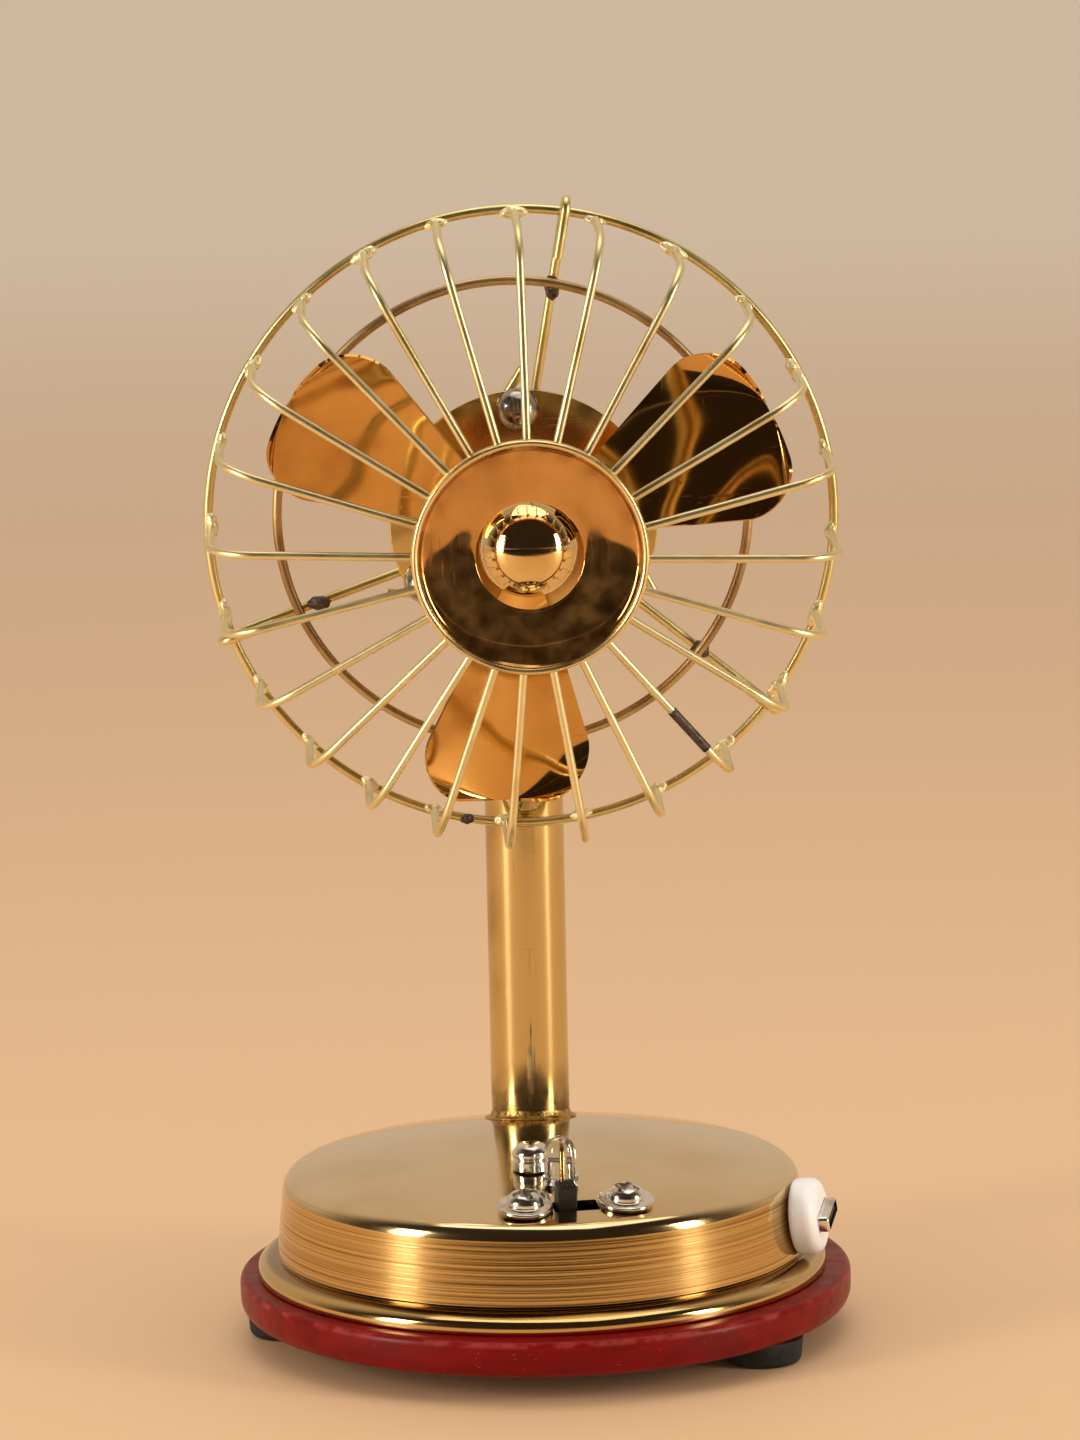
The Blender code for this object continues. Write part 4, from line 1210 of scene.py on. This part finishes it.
# %% Ridged knob
KNOB = (3.1, 3.4, 4.0)
KNOB_REST = -1.6
KNOB_LOW = -1.0
ridge_sizes = {"Count": 7, "First": -1.2, "Step": 0.4, "Length": 3.0, "Width": 0.2, "Height": 0.5,
               "Top": KNOB[2] - 0.2, "Finish": BLACK}
ridges, size = new_tree("knob_ridges", **ridge_sizes)
bar = grow(ridges, "MeshCube", {"Size": vector(ridges, size["Width"], size["Length"], size["Height"])})
row = grow(ridges, "MeshLine", {"Count": size["Count"], "Offset": vector(ridges, size["Step"]),
                                "Start Location": vector(ridges, size["First"], z=size["Top"])})
bars = grow(ridges, "InstanceOnPoints", {"Points": row, "Instance": bar})
close_tree(ridges, bars, size["Finish"])
knob_place = SWITCH_FRAME @ Matrix.Translation((KNOB_REST, 0, 0))
body_height = KNOB[2] - 0.25 - KNOB_LOW
knob = block((*KNOB[:2], body_height), (0, 0, KNOB_LOW + body_height / 2), 0.22, 3)
settle(piece("ridged_knob", knob, BLACK, knob_place), "slider", "black_plastic", "switch_slider")
settle(grown("knob_ridges", ridges, ridge_sizes, knob_place), "slider", "black_plastic")

# %% Lamp
LED = (3.2, -25.3)
LED_RADIUS = 2.5
led_place = on_dome(LED, 0.35)
lamp_line = domed(LED_RADIUS, 5.1, LED_RADIUS, 6, 16)
lamp_line += rounded([(LED_RADIUS, 1.05, 0), (2.9, 1.0, 0.1), (2.9, 0.0, 0.1), (0, 0, 0)], 4)
settle(piece("clear_lamp", lathe(lamp_line, 96), EPOXY, led_place), "root", "clear_epoxy", "led_lamp")

inside = bmesh.new()
for size, centre in (((0.5, 0.5, 4.4), (-1.2, 0.0, 1.4)), ((0.5, 0.5, 4.0), (1.2, 0.0, 1.2)),
                     ((1.5, 0.9, 0.8), (-0.75, 0.0, 3.9)), ((0.9, 0.7, 1.3), (0.95, 0.0, 3.7))):
    part = block(size, centre, 0.12, 2)
    held = bpy.data.meshes.new("held")
    part.to_mesh(held)
    part.free()
    inside.from_mesh(held)
    bpy.data.meshes.remove(held)
settle(piece("lamp_leads", inside, TINNED, led_place), "root", "steel")

# %% Bolt
BOLT = (-1.4, -18.0)
bolt_line = rounded([(0, 4.45, 0), (1.9, 4.35, 1.2), (3.1, 3.1, 1.3), (3.1, 2.15, 0.15), (2.75, 2.05, 0.1),
                     (2.75, 1.75, 0.1), (3.1, 1.65, 0.2), (3.1, 0.0, 0.2), (1.5, 0.0, 0), (1.5, -24.0, 0),
                     (0, -24.0, 0)], 7)
settle(piece("stepped_bolt", lathe(bolt_line, 96), NICKEL, on_dome(BOLT, 0.05)), "root", "nickel",
       "drum_bolt")

# %% [markdown]
# ## The socket
# A milky ring lines the hole in the drum's wall and a bright pressed-steel shell stands out of
# it, rolled a little off level. The shell's mouth is rounded at its corners and has a black
# tongue inside, which is what makes it look like a real socket.

# %% Socket ring, shell and tongue
USB_ANGLE = math.radians(-15.0)
USB_HEIGHT = 20.2
USB_ROLL = 16.0
wall_out = WALL_HEAD.lerp(WALL_FOOT, (WALL_HEAD.y - USB_HEIGHT) / (WALL_HEAD.y - WALL_FOOT.y)).x
tilt = math.atan((WALL_FOOT.x - WALL_HEAD.x) / (WALL_HEAD.y - WALL_FOOT.y))
level = Vector((math.cos(USB_ANGLE), math.sin(USB_ANGLE), 0.0))
along = Vector((-level.y, level.x, 0.0))
facing = level * math.cos(tilt) + SKY * math.sin(tilt)
USB = frame_of(DRUM @ (level * wall_out + SKY * USB_HEIGHT), along, facing.cross(along), facing)
ring_line = rounded([(0, 4.5, 0), (6.2, 4.5, 2.3), (6.2, 0.4, 0.8), (5.4, 0.05, 0), (0, 0.05, 0)], 10)
window = piece("window_cutter", block((7.9, 3.0, 20.0), (0, 0, 4.0), 0.8, 4, USB_ROLL), MILKY, USB)
ring_made = cut(piece("milky_ring", lathe(ring_line, 128), MILKY, USB), window)
settle(ring_made, "root", "white_plastic", "usb_cap")

shell = piece("pressed_shell", block((7.5, 2.6, 11.8), (0, 0, 0.4), 0.55, 3, USB_ROLL), NICKEL, USB)
mouth = piece("mouth_cutter", block((6.9, 2.0, 10.0), (0, 0, 6.3), 0.4, 3, USB_ROLL), NICKEL, USB)
settle(cut(shell, mouth), "root", "nickel", "usb_socket")
settle(piece("socket_tongue", block((5.2, 0.7, 4.8), (0, 0, 3.6), 0.12, 2, USB_ROLL), BLACK, USB),
       "root", "black_plastic")

# %% [markdown]
# ## Inside
# The motor, its lead, the switch's body and the socket's board are closed in. Their plain shapes
# are right, so they stay and only take a finish.

# %% Finishes for the inner nodes
INNER = {"motor_can": STEEL, "motor_shaft": STEEL, "armature": STEEL, "motor_end_cap": WHITE_NYLON,
         "motor_leads": SLOT_DARK, "switch_body": BLACK, "usb_board": LAMINATE}
for node, finish in INNER.items():
    frame["nodes"][node].material_slots[0].material = finish
print(len(INNER), "inner nodes finished")

# %% [markdown]
# ## Studio
# The fan stands on a warm table top that turns pale in the distance. Polished brass shows its
# surroundings more than itself, so the light is planned as a photographer would: two soft boxes
# in front, left and right, a broad soft light above, pale surroundings, and for reflections a
# bright side behind the fan and a dark one behind the camera. A black card on the table in
# front, which only reflections can see, gives the mirrors their dark half.


# %% Floor, card, lights and surroundings
NEAR, FAR = 0.3, 3.0           # metres between which the table turns pale


def table_top():
    made, tree, shader, places = new_finish("pale_table_top", "#DDBA94", 0.0, 0.6)
    far = soft_ramp(tree, length_of(tree, places), NEAR, FAR)
    use(tree, mixed(tree, far, "#DDBA94", "#F6E9DA"), shader, "Base Color")
    return made


def studio_plane(name, size, centre, finish):
    mesh = bpy.data.meshes.new(name)
    flat = bmesh.new()
    bmesh.ops.create_grid(flat, x_segments=1, y_segments=1, size=0.5)
    bmesh.ops.scale(flat, vec=(*size, 1.0), verts=flat.verts)
    bmesh.ops.translate(flat, vec=centre, verts=flat.verts)
    flat.to_mesh(mesh)
    flat.free()
    made = bpy.data.objects.new(name, mesh)
    bpy.context.collection.objects.link(made)
    mesh.materials.append(finish)
    made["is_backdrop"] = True
    return made


studio_plane("pale_floor", (80.0, 80.0), (0, 0, 0), table_top())
card = studio_plane("black_card", (8.0, 16.0), (0.0, -8.465, 0.004),
                    new_finish("matt_card", "#15110E", 0.0, 0.9)[0])
card.visible_camera = card.visible_diffuse = card.visible_shadow = False


ROOM_LIGHT = 0.82


def soft_box(name, place, aim, size, power, colour):
    data = bpy.data.lights.new(name, "AREA")
    data.shape = "RECTANGLE"
    data.size, data.size_y = size
    data.energy = power
    data.color = linear(colour)[:3]
    made = bpy.data.objects.new(name, data)
    bpy.context.collection.objects.link(made)
    made.location = place
    made.rotation_euler = (Vector(aim) - Vector(place)).to_track_quat("-Z", "Y").to_euler()


soft_box("left_box", (-0.80, -0.46, 0.27), (0, 0, 0.12), (0.20, 0.50), 5.2, "#FFF3E2")
soft_box("right_box", (0.86, -0.36, 0.27), (0, 0, 0.12), (0.16, 0.48), 4.2, "#FFF3E2")
soft_box("top_light", (0.05, 0.10, 1.05), (0, 0, 0.05), (0.9, 0.7), 3.2, "#FFF6EA")

world = bpy.data.worlds.new("studio")
bpy.context.scene.world = world
bpy.context.scene.view_settings.view_transform = "Standard"
world.use_nodes = True
tree = world.node_tree
backdrop = tree.nodes["Background"]
to_the_back = part_of(tree, add(tree, "ShaderNodeTexCoord").outputs["Generated"], 1)
behind = soft_ramp(tree, to_the_back, -0.15, 0.55)
room = mixed(tree, behind, "#33281E", "#DCC6AC")
mirrored = add(tree, "ShaderNodeLightPath").outputs["Is Glossy Ray"]
use(tree, mixed(tree, mirrored, "#EFE0CF", room), backdrop, "Color")
backdrop.inputs["Strength"].default_value = ROOM_LIGHT

# %% [markdown]
# The last cell measures.

# %% Sizes
bpy.context.view_layer.update()
boxes = {"cad_box": CAD_BOX, "visual_box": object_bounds()}
sizes = {name: [list(corner) for corner in box] for name, box in boxes.items()}
for name, box in sizes.items():
    print(name, [[round(value / MM, 2) for value in corner] for corner in box])
